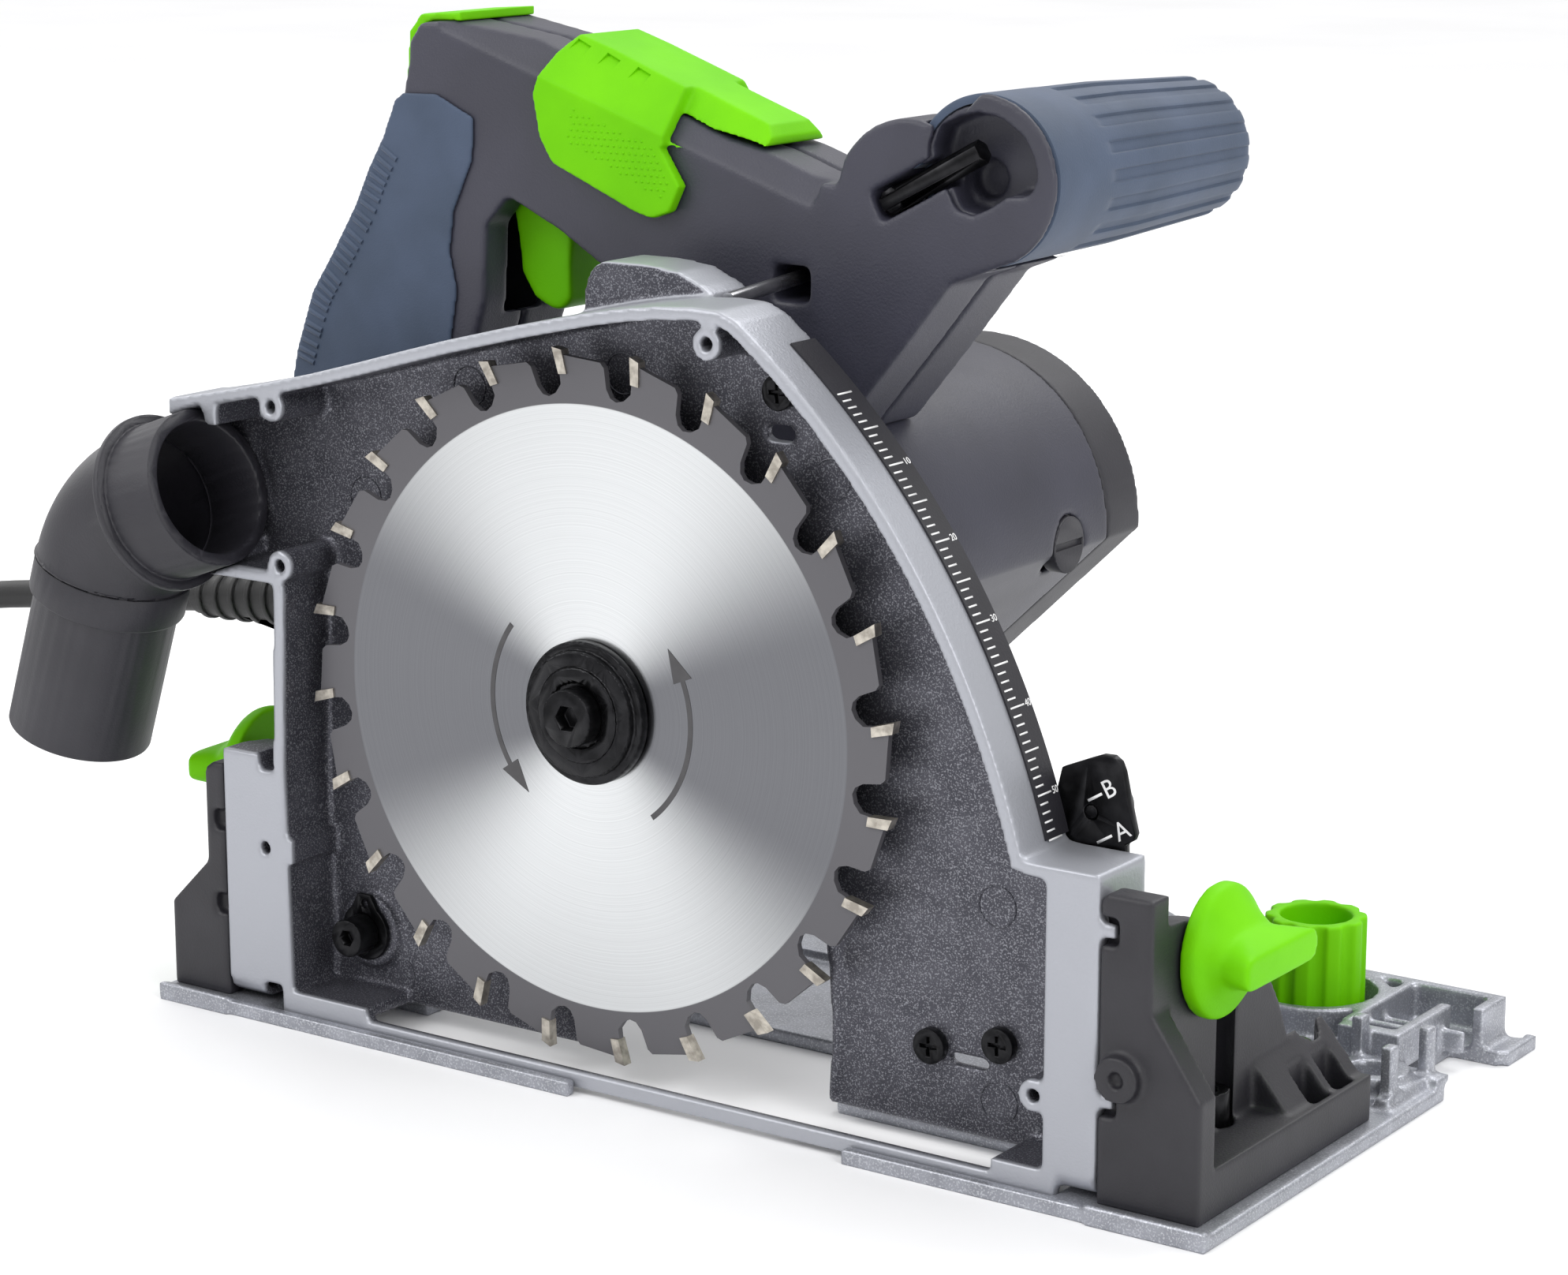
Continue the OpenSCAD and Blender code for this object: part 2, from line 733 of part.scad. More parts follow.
module handle_near() {
    color(charcoal) difference() {
        along_y(handle_y[0], handle_mid - 0.05) handle_shape();
        handle_cavity(handle_y[0] + 3, handle_mid + 1);
        shoulders(3.6);
        handle_ports();
    }
}

module handle_far() {
    color(charcoal) difference() {
        along_y(handle_mid + 0.05, handle_y[1]) handle_shape();
        handle_cavity(handle_mid - 1, handle_y[1] - 3);
        shoulders(3.6);
        handle_ports();
        for (p = shell_screws) rod_y(p, handle_mid - 1, handle_y[1] + 1, 1.7);
    }
}

// Hollow of the rear grip and the top bar
grip_cavity = [
    [-114, 128], [-107, 152], [-101, 168], [-88, 190], [-81, 206], [-76.5, 222], [-73.5, 230.5],
    [-68, 233], [-46, 229.8], [-36, 226.2], [-12, 217.8], [8, 210.6], [22, 206.6], [22, 170],
    [10, 166], [5, 166], [3.5, 174], [-10, 182], [-22, 187.4], [-34, 194.4], [-50.4, 201.2],
    [-60, 192], [-61.2, 173], [-67, 153], [-75.5, 130], [-76, 128]];

// Hollow of the foot, where the cord comes in
foot_cavity = [
    [-121, 84], [-122.5, 96], [-119, 116], [-76, 116], [-64, 111], [-40, 111], [-36, 100], [-34.5, 86]];

module handle_cavity(y0, y1) {
    difference() {
        along_y(y0, y1) polygon(grip_cavity);
        shoulders(6.6);
    }
    along_y(y0, y1) polygon(foot_cavity);
}

// Openings in the shells for the boot, the trigger, the latch pin and the front sleeve
module handle_ports() {
    rod_x([handle_mid, 88], -130, -110, 6);
    along_y(44.6, 59.4) polygon([[-66, 168], [-40, 168], [-36, 200], [-66, 200]]);
    box([25, handle_y[0] - 1, 179], [35, handle_mid + 8, 187]);
    rod_y(head_at, head_y + 2.5, handle_y[1] + 1, grip_r + 0.1);
    head_recess();
    hex_key_slot();
}

shell_screws = [[-112, 111], [-70, 228], [17, 199], [50, 178], [-104, 90]];

module handle_screws() {
    color(black) for (p = shell_screws) {
        rod_y(p, handle_y[1], handle_y[1] + 1.2, 3.4);
        rod_y(p, handle_mid, handle_y[1], 1.7);
    }
}

grip_zone = [
    [-117.5, 151], [-116.3, 156], [-111, 170.2], [-103.4, 181.4], [-96.3, 192.6], [-91.9, 201.6],
    [-87.4, 209], [-83.4, 218], [-80.5, 220], [-71, 220.2], [-59.5, 215], [-60.2, 205], [-66, 193],
    [-67.5, 183], [-65.5, 174], [-68, 160], [-76, 140], [-84, 128], [-100, 122], [-122, 132]];

module rear_soft_grip() {
    color(soft) difference() {
        along_y(handle_y[0] - 0.9, handle_y[1] + 0.9) polygon(grip_zone);
        along_y(handle_y[0] - 0.02, handle_y[1] + 0.02) polygon(inset(handle_outline, -0.02));
    }
}

module rear_trim() {
    color(lime) difference() {
        along_y(handle_y[0] + 3, handle_y[1] - 3)
            polygon([[-83.2, 220.4], [-82.4, 226], [-81.6, 234], [-78, 238.2], [-66, 239], [-66, 232],
                     [-74, 232], [-76, 220.4]]);
        along_y(handle_y[0] - 1, handle_y[1] + 1) polygon(inset(handle_outline, -0.02));
    }
}

head_at = [79, 208.6];
head_y = handle_y[0];

// Hollow in the face of the front handle, where the key can be gripped
module head_recess() {
    along_y(head_y - 1, head_y + 10) polygon([
        [65.6, 215.3], [67.3, 219.8], [72.5, 222.2], [78.5, 223.3], [84.5, 222.2], [89.7, 218.8],
        [92.7, 213.9], [93, 209.6], [91.6, 206.5], [86, 206.1], [81.4, 203.1], [77.1, 201.3],
        [72.7, 202.5], [70.9, 206], [70.5, 210.4], [66.1, 211.6]]);
    rod_y([75.5, 208.3], head_y - 1, head_y + 14, 4.4);
}

module front_handle_core() {
    color(charcoal) difference() {
        union() {
            rod_y(head_at, head_y + 2.6, head_y + 17, grip_r - 2.4);
            rod_y(head_at, head_y + 16, 123.8, 11);
        }
        rod_y(head_at, head_y + 26, 118, 8);
        head_recess();
        hex_key_slot();
    }
}

key_from = [55.6, 203.1];
key_angle = 28;
key_l = 25;
key_y = head_y + 4;

// Slot for the folded hex key, with a deeper hole for its short arm
module hex_key_slot() {
    translate([key_from[0], head_y - 1, key_from[1]]) rotate([0, -key_angle, 0]) {
        translate([-4, 0, -3.6]) cube([key_l + 4, 8.4, 7.2]);
        rotate([-90, 0, 0]) cylinder(h = 26, r = 3.5, $fn = 32);
    }
}

// Sleeve of the front handle
module front_grip() {
    color(soft) difference() {
        translate([head_at[0], 128, head_at[1]]) rotate([90, 0, 0]) union() {
            cylinder(h = 46.8, r1 = 16.3, r2 = 18.2, $fn = 90);
            translate([0, 0, 46.7]) cylinder(h = 128 - 46.7 - head_y - 2.6, r1 = 18.2, r2 = 18.8, $fn = 90);
            translate([0, 0, -2.5]) cylinder(h = 2.6, r1 = 13.5, r2 = 16.3, $fn = 90);
        }
        rod_y(head_at, head_y + 2, head_y + 17.1, grip_r - 2.3, 72);
        rod_y(head_at, head_y + 17, 123.9, 11.1, 60);
        hex_key_slot();
    }
}

module switch_block() {
    color(black) box([-79.5, 44.2, 190], [-66.5, 59.8, 211]);
}

module cord_boot() {
    color(black) difference() {
        union() {
            rod_x([handle_mid, 88], -134, -119, 5.9);
            translate([-134, handle_mid, 88]) rotate([0, -96, 0])
                cylinder(h = 34.5, r1 = 7.2, r2 = 4.8, $fn = 48);
            for (i = [0:4]) translate([-139 - i * 6, handle_mid, 87.5 - i * 0.63]) rotate([0, -96, 0])
                cylinder(h = 2, r = 7.6 - i * 0.4, $fn = 48);
        }
        translate([-110, handle_mid, 90.5]) rotate([0, -96, 0]) cylinder(h = 62, r = cord_d / 2, $fn = 48);
    }
}

// ---------- spindle ----------

module spindle_shaft() {
    color(steel) difference() {
        rod_y(arbor, 1.5, 42.5, 6);
        rod_y(arbor, 0, 16, 4);
    }
}

// Spur gear with straight-sided teeth, centred on the origin; root is cut a little deep
function gear_points(n, m, backlash) = [
    for (i = [0:n - 1], k = [0:5])
        let (pitch = 360 / n,
             r = [n * m / 2 - 1.2 * m, n * m / 2, n * m / 2 + m, n * m / 2 + m, n * m / 2,
                  n * m / 2 - 1.2 * m][k],
             half = [0.36, 0.235 - backlash, 0.1, -0.1, -0.235 + backlash, -0.36][k],
             a = (i - half) * pitch)
        r * [cos(a), sin(a)]];

mesh_angle = 90 - 28.35;

module drive_gear() {
    color(steel) difference() {
        along_y(24, 33) translate(arbor) rotate(mesh_angle + 180 / gear_teeth)
            polygon(gear_points(gear_teeth, gear_module, 0.03));
        rod_y(arbor, 23, 34, 6.02);
        for (a = [0:60:300])
            rod_y(arbor + 14 * [cos(a), sin(a)], 23, 34, 3.5);
    }
}

module inner_flange() {
    color(black) difference() {
        union() {
            rod_y(arbor, 1.3, 5, 16.3);
            rod_y(arbor, 5, 9.8, 9);
            rod_y(arbor, -0.6, 1.35, bore_d / 2 - 0.02);
        }
        rod_y(arbor, -1, 1.5, 4.1);
        rod_y(arbor, 1.4, 12, 6.02);
    }
}

// One tooth's share of the plate outline as [radius, angle from the tip]
tooth_plate = [
    [-6.1, -0.85], [-6.1, -2.5], [-1.9, -1.95], [-2.2, -3.2], [-2.9, -9.2], [-4, -10], [-8.5, -10.7],
    [-10.4, -11.7], [-11, -13], [-10.3, -14.6], [-8.4, -15.9]];
tooth_tip = [[0, 0], [-0.7, -1.8], [-6.1, -2.5], [-6.1, -0.85]];
first_tip = 96.4;

module blade_plate() {
    color(steel) translate([0, plate_t / 2, arbor_h]) rotate([90, 0, 0]) difference() {
        linear_extrude(plate_t) polygon([
            for (i = [0:teeth - 1], p = tooth_plate)
                let (a = first_tip - i * 360 / teeth + p[1] * 24 / teeth)
                (blade_d / 2 + p[0]) * [cos(a), sin(a)]]);
        translate([0, 0, -1]) cylinder(h = plate_t + 2, r = bore_d / 2, $fn = 96);
    }
}

module carbide_tips() {
    color("#a9a49c") translate([0, kerf / 2, arbor_h]) rotate([90, 0, 0])
        for (i = [0:teeth - 1]) linear_extrude(kerf) polygon([
            for (p = tooth_tip)
                let (a = first_tip - i * 360 / teeth + p[1] * 24 / teeth)
                (blade_d / 2 + p[0]) * [cos(a), sin(a)]]);
}

module outer_flange() {
    color(black) difference() {
        union() {
            rod_y(arbor, -3.4, -plate_t / 2, 16.5);
            rod_y(arbor, -5.2, -3.3, 14.5);
            rod_y(arbor, -6, -5.1, 11);
        }
        rod_y(arbor, -8, 2, 4.1);
        rod_y(arbor, -7, -5, 7.6);
    }
}

module blade_bolt() {
    color(black) difference() {
        union() {
            rod_y(arbor, -9.6, -5, 6.6);
            rod_y(arbor, -5.2, 14, 4);
        }
        rod_y(arbor, -10, -6.2, 3.1, 6);
    }
}

// ---------- armature ----------

module armature_shaft() {
    color(steel) {
        rod_y(motor, 14.5, 24, 4);
        along_y(24, 33) translate(motor) rotate(mesh_angle + 180)
            polygon(gear_points(pinion_teeth, gear_module, 0.03));
        rod_y(motor, 33, 143, 4);
    }
}

module armature_core() {
    slots = 12;
    color("#6f6a60") difference() {
        rod_y(motor, 60, 102, 20.5);
        rod_y(motor, 58, 110, 4);
        for (i = [0:slots - 1])
            rod_y(motor + 18.6 * [cos(i * 30), sin(i * 30)], 58, 110, 1.6, 24);
    }
}

module commutator() {
    color("#b87333") difference() {
        rod_y(motor, 107, 119, 12.5);
        rod_y(motor, 106, 120, 4);
    }
}

module cooling_fan() {
    blades = 11;
    color(black) difference() {
        union() {
            rod_y(motor, 47, 49, 27);
            rod_y(motor, 47, 55, 9);
            along_y(48.9, 55) translate(motor) for (i = [0:blades - 1])
                rotate(i * 360 / blades) translate([8, -0.8]) square([18.6, 1.6]);
        }
        rod_y(motor, 46, 60, 4);
    }
}

// ---------- controls ----------

module trigger() {
    color(lime) along_y(45.2, 58.8) polygon(concat(
        [[-57.4, 196], [-55.5, 186], [-54.6, 178], [-51, 172.5]],
        arc([-44.5, 174.6], 4.8, -120, -20, 4),
        [[-40.2, 180], [-39.6, 187], [-42, 195], [-45, 199]]));
}

// Cap that straddles the handle's top bar; its lobes reach down both sides
module release_saddle() {
    color(lime) difference() {
        along_y(handle_y[0] - 3.5, handle_y[1] + 3.5) polygon([
            [-39.9, 221.7], [-36.5, 231], [-33, 235.2], [-23, 232], [-8, 226.5], [8, 220.6],
            [18, 217], [20, 214], [19, 208], [-4, 212], [2, 203], [-1, 197], [-6, 195.3],
            [-11, 196.6], [-34.4, 206.2], [-38, 212]]);
        shoulders(0);
        intersection() {
            shoulders(3.2);
            box([-2.5, 20, 205], [30, 84, 240]);
        }
        intersection() {
            translate([-4.7, 0, 1.75]) along_y(handle_y[0] - 0.35, handle_y[1] + 0.35)
                polygon(inset(handle_outline, -0.4));
            box([7, 20, 200], [30, 84, 240]);
        }
        difference() {
            along_y(handle_y[0] - 0.35, handle_y[1] + 0.35) polygon(inset(handle_outline, -0.4));
            shoulders(3.2);
        }
    }
}

module latch_pin() {
    color(steel) translate([29.5, wall_out + 1.5, 182]) rotate([-86, 0, 0]) cylinder(h = 42, r = 1.6, $fn = 32);
}

module hex_key() {
    color(black) translate([key_from[0], key_y, key_from[1]]) rotate([0, -key_angle, 0]) {
        translate([-2.9, 0, 0]) rotate([0, 90, 0]) cylinder(h = key_l + 2.9, r = 2.9, $fn = 6);
        translate([0, -2.5, 0]) rotate([-90, 0, 0]) cylinder(h = 20, r = 2.9, $fn = 6);
    }
}

// ---------- cord and plug ----------

// Circle of points round a route point, square to the route
function ring(p, d, r, n) =
    let (s = unit(cross(d, [0, 0, 1])), u = cross(s, d))
    [for (i = [0:n - 1]) p + r * (cos(360 * i / n) * s + sin(360 * i / n) * u)];

// Point at t between b and c on a smooth curve through a, b, c and d
function smooth(a, b, c, d, t) =
    0.5 * (2 * b + (c - a) * t + (2 * a - 5 * b + 4 * c - d) * t * t + (3 * b - a - 3 * c + d) * t * t * t);

function refine(p) = [
    for (i = [0:len(p) - 2], t = [0, 0.5])
        smooth(p[max(i - 1, 0)], p[i], p[i + 1], p[min(i + 2, len(p) - 1)], t), p[len(p) - 1]];

module swept_tube(path, r, n) {
    last = len(path) - 1;
    rings = [for (i = [0:last])
        ring(path[i], unit(path[min(i + 1, last)] - path[max(i - 1, 0)]), r, n)];
    polyhedron(
        points = [for (q = rings, p = q) p],
        faces = concat(
            [[for (i = [0:n - 1]) n - 1 - i]],
            [for (k = [0:last - 1], i = [0:n - 1])
                [k * n + i, k * n + (i + 1) % n, (k + 1) * n + (i + 1) % n, (k + 1) * n + i]],
            [[for (i = [0:n - 1]) last * n + i]]));
}

module cord_tube() {
    color(black) swept_tube(refine(cord_route), cord_d / 2, 12);
}

module cord_coil() {
    color(black) translate([coil_at[0], coil_at[1], 0]) rotate_extrude($fn = 72)
        translate([coil_mean - coil_side / 2, 0]) square(coil_side);
}

module plug_lead() {
    color(black) swept_tube(refine(lead_route), cord_d / 2, 12);
}

module plug_body() {
    color(black) translate(plug_at) rotate([0, 90, 0]) {
        cylinder(h = 24, r = 18.5, $fn = 64);
        translate([0, 0, -22]) cylinder(h = 22.5, r1 = 5.5, r2 = 12, $fn = 48);
    }
}

module plug_pins() {
    color(steel) for (s = [-9.5, 9.5])
        translate(plug_at + [24, s, 0]) rotate([0, 90, 0]) cylinder(h = 19, r = 2.4, $fn = 32);
}

base_plate();
front_bracket();
rear_bracket();
bracket_screws();
bevel_pins();
lock_bolts();
front_bevel_knob();
rear_bevel_knob();
front_rail_cam();
rear_rail_cam();
guard_casting();
depth_scale();
guard_screws();
pivot_pin();
pivot_clip();
depth_stop();
depth_stop_clamp();
dust_elbow();
gear_case();
pivot_spring();
spindle_bearings();
motor_housing();
motor_end_cap();
cap_screws();
armature_bearings();
stator();
brushes();
brush_caps();
handle_near();
handle_far();
handle_screws();
rear_soft_grip();
rear_trim();
front_handle_core();
front_grip();
switch_block();
cord_boot();
spindle_shaft();
drive_gear();
inner_flange();
blade_plate();
carbide_tips();
outer_flange();
blade_bolt();
armature_shaft();
armature_core();
commutator();
cooling_fan();
trigger();
release_saddle();
latch_pin();
hex_key();
cord_tube();
cord_coil();
plug_lead();
plug_body();
plug_pins();
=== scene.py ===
import json
import math
import bmesh
import bpy
from mathutils import Matrix, Vector


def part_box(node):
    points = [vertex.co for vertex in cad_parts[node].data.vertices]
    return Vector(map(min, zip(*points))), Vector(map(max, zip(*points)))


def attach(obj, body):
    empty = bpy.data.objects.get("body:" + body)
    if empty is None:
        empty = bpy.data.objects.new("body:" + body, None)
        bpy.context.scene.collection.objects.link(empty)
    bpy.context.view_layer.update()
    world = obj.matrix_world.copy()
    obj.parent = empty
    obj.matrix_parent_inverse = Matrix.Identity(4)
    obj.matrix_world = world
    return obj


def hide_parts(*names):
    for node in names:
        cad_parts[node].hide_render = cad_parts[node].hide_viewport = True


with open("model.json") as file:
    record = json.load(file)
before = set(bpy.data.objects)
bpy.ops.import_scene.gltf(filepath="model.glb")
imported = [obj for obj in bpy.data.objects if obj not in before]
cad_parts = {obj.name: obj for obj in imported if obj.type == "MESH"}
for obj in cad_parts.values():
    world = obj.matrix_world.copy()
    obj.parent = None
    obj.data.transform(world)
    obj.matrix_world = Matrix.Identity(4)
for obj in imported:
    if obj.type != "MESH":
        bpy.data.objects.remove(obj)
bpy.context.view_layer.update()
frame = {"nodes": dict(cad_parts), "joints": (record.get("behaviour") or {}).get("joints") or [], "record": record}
mm = 0.001
joints = {j["name"]: j for j in frame["joints"]}
arbor = Vector(joints["blade_spin"]["pos_m"])
pivot = Vector(joints["plunge"]["pos_m"])
motorAxis = Vector(joints["armature_spin"]["pos_m"])
print("frame loaded")

view = {  # metres, degrees, and millimetres for the lens and its sensor
    "place": (0.5186, -0.6707, 0.2996), "azimuth": 34.79, "elevation": 12.95,
    "lens": 89.0, "sensor": 36.0}


def placeCamera():
    data = bpy.data.cameras.new("camera")
    data.lens = view["lens"]
    data.sensor_width = view["sensor"]
    camera = bpy.data.objects.new("camera", data)
    camera.location = view["place"]
    camera.rotation_euler = (
        math.radians(90 - view["elevation"]), 0, math.radians(view["azimuth"]))
    bpy.context.scene.collection.objects.link(camera)
    bpy.context.scene.camera = camera


studio = {  # a dim wall all round, brighter up to skyTop, and four softboxes
    "horizon": 0.3, "zenith": 1.2, "skyTop": 0.6,
    "lights": [  # place, aim, size, watts
        ((-0.9, -1.3, 1.5), (0, 0, 0.1), 1.0, 12),
        ((1.5, -0.5, 1.0), (0, 0, 0.1), 0.7, 8),
        ((0.2, 1.2, 1.7), (0, 0, 0.1), 1.0, 12),
        ((-1.6, 0.5, 0.7), (0, 0, 0.1), 0.8, 5),
    ],
}


def placeLights():
    for place, aim, size, watts in studio["lights"]:
        data = bpy.data.lights.new("softbox", "AREA")
        data.size = size
        data.energy = watts
        light = bpy.data.objects.new("softbox", data)
        light.location = place
        away = Vector(place) - Vector(aim)
        light.rotation_euler = away.to_track_quat("Z", "Y").to_euler()
        bpy.context.scene.collection.objects.link(light)
    world = bpy.data.worlds.new("studioSky")
    world.use_nodes = True
    tree = world.node_tree
    place = tree.nodes.new("ShaderNodeTexCoord")
    parts = tree.nodes.new("ShaderNodeSeparateXYZ")
    rise = tree.nodes.new("ShaderNodeMapRange")
    rise.inputs["From Min"].default_value = 0.0
    rise.inputs["From Max"].default_value = studio["skyTop"]
    rise.inputs["To Min"].default_value = studio["horizon"]
    rise.inputs["To Max"].default_value = studio["zenith"]
    tree.links.new(place.outputs["Generated"], parts.inputs[0])
    tree.links.new(parts.outputs["Z"], rise.inputs["Value"])
    tree.links.new(rise.outputs["Result"], tree.nodes["Background"].inputs["Strength"])
    tree.nodes["Background"].inputs["Color"].default_value = (1, 1, 1, 1)
    bpy.context.scene.world = world
    bpy.context.scene.view_settings.view_transform = "Standard"


placeCamera()
placeLights()


def linear(hexText):
    # sRGB hex text to linear red, green, blue and alpha
    parts = [int(hexText[i:i + 2], 16) / 255 for i in (1, 3, 5)]
    return [c / 12.92 if c <= 0.04045 else ((c + 0.055) / 1.055) ** 2.4 for c in parts] + [1.0]


def addNode(tree, kind, settings=None, links=None):
    # settings name a socket of the node or, failing that, a property of it
    node = tree.nodes.new(kind)
    for key, value in (settings or {}).items():
        if isinstance(key, int) or key in node.inputs:
            node.inputs[key].default_value = value
        else:
            setattr(node, key, value)
    for key, source in (links or {}).items():
        tree.links.new(source, node.inputs[key])
    return node


def startMaterial(name, settings):
    material = bpy.data.materials.new(name)
    material.use_nodes = True
    tree = material.node_tree
    shader = tree.nodes["Principled BSDF"]
    for key, value in settings.items():
        shader.inputs[key].default_value = value
    place = tree.nodes.new("ShaderNodeTexCoord").outputs["Object"]
    return material, tree, shader, place


patternLook = {  # noise values where one colour gives way to the next, and the size of worn patches
    "cloud": (0.35, 0.65), "speck": (0.52, 0.66), "wearMm": 14}


def noise(tree, place, sizeMm, detail):
    return addNode(tree, "ShaderNodeTexNoise", {
        "Scale": 1000 / sizeMm, "Detail": detail}, {"Vector": place}).outputs["Fac"]


def tint(tree, shader, place, look):
    # cloudy change between two near colours, with fine specks of a third where the look has them
    ramp = addNode(tree, "ShaderNodeValToRGB", None, {
        "Fac": noise(tree, place, look["cloudMm"], 3.0)})
    for element, position, tone in zip(
            ramp.color_ramp.elements, patternLook["cloud"], ("dark", "light")):
        element.position = position
        element.color = linear(look[tone])
    colour = ramp.outputs["Color"]
    if "speck" in look:
        start, end = patternLook["speck"]
        share = addNode(tree, "ShaderNodeMapRange", {"From Min": start, "From Max": end}, {
            "Value": noise(tree, place, look["speckMm"], 2.0)})
        mix = addNode(tree, "ShaderNodeMix", {"data_type": "RGBA"}, {
            "Factor": share.outputs["Result"]})
        tree.links.new(colour, mix.inputs["A"])
        mix.inputs["B"].default_value = linear(look["speck"])
        colour = mix.outputs["Result"]
    tree.links.new(colour, shader.inputs["Base Color"])
    return colour


def grain(tree, shader, place, look):
    # surface texture of the given size and depth, and a roughness that drifts over larger patches
    bump = addNode(tree, "ShaderNodeBump", {"Distance": look["depthMm"] * mm}, {
        "Height": noise(tree, place, look["grainMm"], 2.5)})
    tree.links.new(bump.outputs["Normal"], shader.inputs["Normal"])
    smooth, dull = look["rough"]
    rough = addNode(tree, "ShaderNodeMapRange", {"To Min": smooth, "To Max": dull}, {
        "Value": noise(tree, place, patternLook["wearMm"], 4.0)})
    tree.links.new(rough.outputs["Result"], shader.inputs["Roughness"])


finishes = {
    # die-cast aluminium under a metallic powder coat: pale flakes in grey, a fine orange-peel skin
    "powderCoatedCasting": {
        "dark": "#93959c", "light": "#a3a5ad", "cloudMm": 7, "speck": "#bfc1c7", "speckMm": 0.45,
        "grainMm": 0.7, "depthMm": 0.07, "rough": (0.36, 0.46), "metal": 0.7},
    # ABS moulded in a spark-eroded tool: dull skin with an even fine grain
    "charcoalMouldedAbs": {
        "dark": "#2f2f3b", "light": "#363643", "cloudMm": 30,
        "grainMm": 0.55, "depthMm": 0.09, "rough": (0.44, 0.54), "ior": 1.54},
    "blackMouldedNylon": {  # glass-filled nylon: dull, with faint flow marks
        "dark": "#1b1a20", "light": "#232228", "cloudMm": 16,
        "grainMm": 0.6, "depthMm": 0.07, "rough": (0.46, 0.58), "ior": 1.53},
    "limeMouldedAbs": {  # clear strong pigment in a satin skin
        "dark": "#66bd00", "light": "#70c900", "cloudMm": 25,
        "grainMm": 0.5, "depthMm": 0.04, "rough": (0.48, 0.58), "ior": 1.46, "specular": 0.15},
    "capMouldedAbs": {
        "dark": "#201f26", "light": "#28272e", "cloudMm": 22,
        "grainMm": 0.6, "depthMm": 0.06, "rough": (0.48, 0.6), "ior": 1.54},
    "overmouldedTpe": {  # thermoplastic rubber: matte, soft, slightly dusty
        "dark": "#364459", "light": "#3f4d64", "cloudMm": 18,
        "grainMm": 0.5, "depthMm": 0.06, "rough": (0.6, 0.72), "ior": 1.5, "sheen": 0.08},
    "extrudedRubber": {  # cord jacket and boot: black, dull
        "dark": "#141415", "light": "#1c1c1d", "cloudMm": 20,
        "grainMm": 0.9, "depthMm": 0.05, "rough": (0.5, 0.62), "ior": 1.52},
    "turnedSteel": {  # bright, with faint tool lines
        "dark": "#a6a6a8", "light": "#bcbcbe", "cloudMm": 6,
        "grainMm": 0.35, "depthMm": 0.02, "rough": (0.22, 0.34), "metal": 1.0},
    "blackOxideSteel": {  # blackened, lightly oiled
        "dark": "#1b1b1d", "light": "#29292b", "cloudMm": 4,
        "grainMm": 0.3, "depthMm": 0.02, "rough": (0.26, 0.4), "metal": 0.85},
    "groundCarbide": {
        "dark": "#9a948b", "light": "#c9c3b8", "cloudMm": 2,
        "grainMm": 0.3, "depthMm": 0.02, "rough": (0.3, 0.45), "metal": 0.9},
    "turnedCopper": {
        "dark": "#a5653a", "light": "#c17c4a", "cloudMm": 5,
        "grainMm": 0.4, "depthMm": 0.02, "rough": (0.25, 0.4), "metal": 1.0},
    "pressedCarbon": {
        "dark": "#2a2826", "light": "#3a3734", "cloudMm": 3,
        "grainMm": 0.4, "depthMm": 0.04, "rough": (0.5, 0.65)},
    "printedInk": {  # pad-printed dark ink on the plate
        "dark": "#3c3b3d", "light": "#454446", "cloudMm": 5,
        "grainMm": 0.4, "depthMm": 0.01, "rough": (0.45, 0.55)},
    "whitePrint": {  # white paint in the marks
        "dark": "#dcdcdc", "light": "#f0f0f0", "cloudMm": 3,
        "grainMm": 0.4, "depthMm": 0.01, "rough": (0.5, 0.6)},
    "stackedLaminations": {
        "dark": "#5d5a55", "light": "#77746e", "cloudMm": 3,
        "grainMm": 0.5, "depthMm": 0.05, "rough": (0.35, 0.5), "metal": 0.9},
}


def makeFinish(name):
    look = finishes[name]
    settings = {"Metallic": look.get("metal", 0.0), "Sheen Weight": look.get("sheen", 0.0),
                "Specular IOR Level": look.get("specular", 0.5)}
    if "ior" in look:
        settings["IOR"] = look["ior"]
    material, tree, shader, place = startMaterial(name, settings)
    tint(tree, shader, place, look)
    grain(tree, shader, place, look)
    return material


finish = {name: makeFinish(name) for name in finishes}

bladeLook = {
    # disc is the painted highlight colour above and below the arbor, side the painted shade colour to its sides;
    # tie sets where one gives way to the other
    "disc": "#d2d4d5", "side": "#727377", "ring": "#5d5c60", "ringMm": 69.6, "edgeMm": 0.25,
    "lineMm": 0.35, "lineDepthMm": 0.006, "lineTone": (0.86, 1.1), "paintedTie": (0.35, 0.95),
    "anisotropy": 0.75, "rough": (0.3, 0.45), "metal": (1.0, 0.25)}  # pairs: disc, then ring


def radiusFrom(tree, place, centre):
    # distance from an axis along Y through centre
    offset = addNode(tree, "ShaderNodeVectorMath", {
        "operation": "SUBTRACT", 1: centre}, {0: place})
    plane = addNode(tree, "ShaderNodeVectorMath", {
        "operation": "MULTIPLY", 1: (1, 0, 1)}, {0: offset.outputs[0]})
    size = addNode(tree, "ShaderNodeVectorMath", {"operation": "LENGTH"}, {0: plane.outputs[0]})
    return plane.outputs[0], size.outputs["Value"]


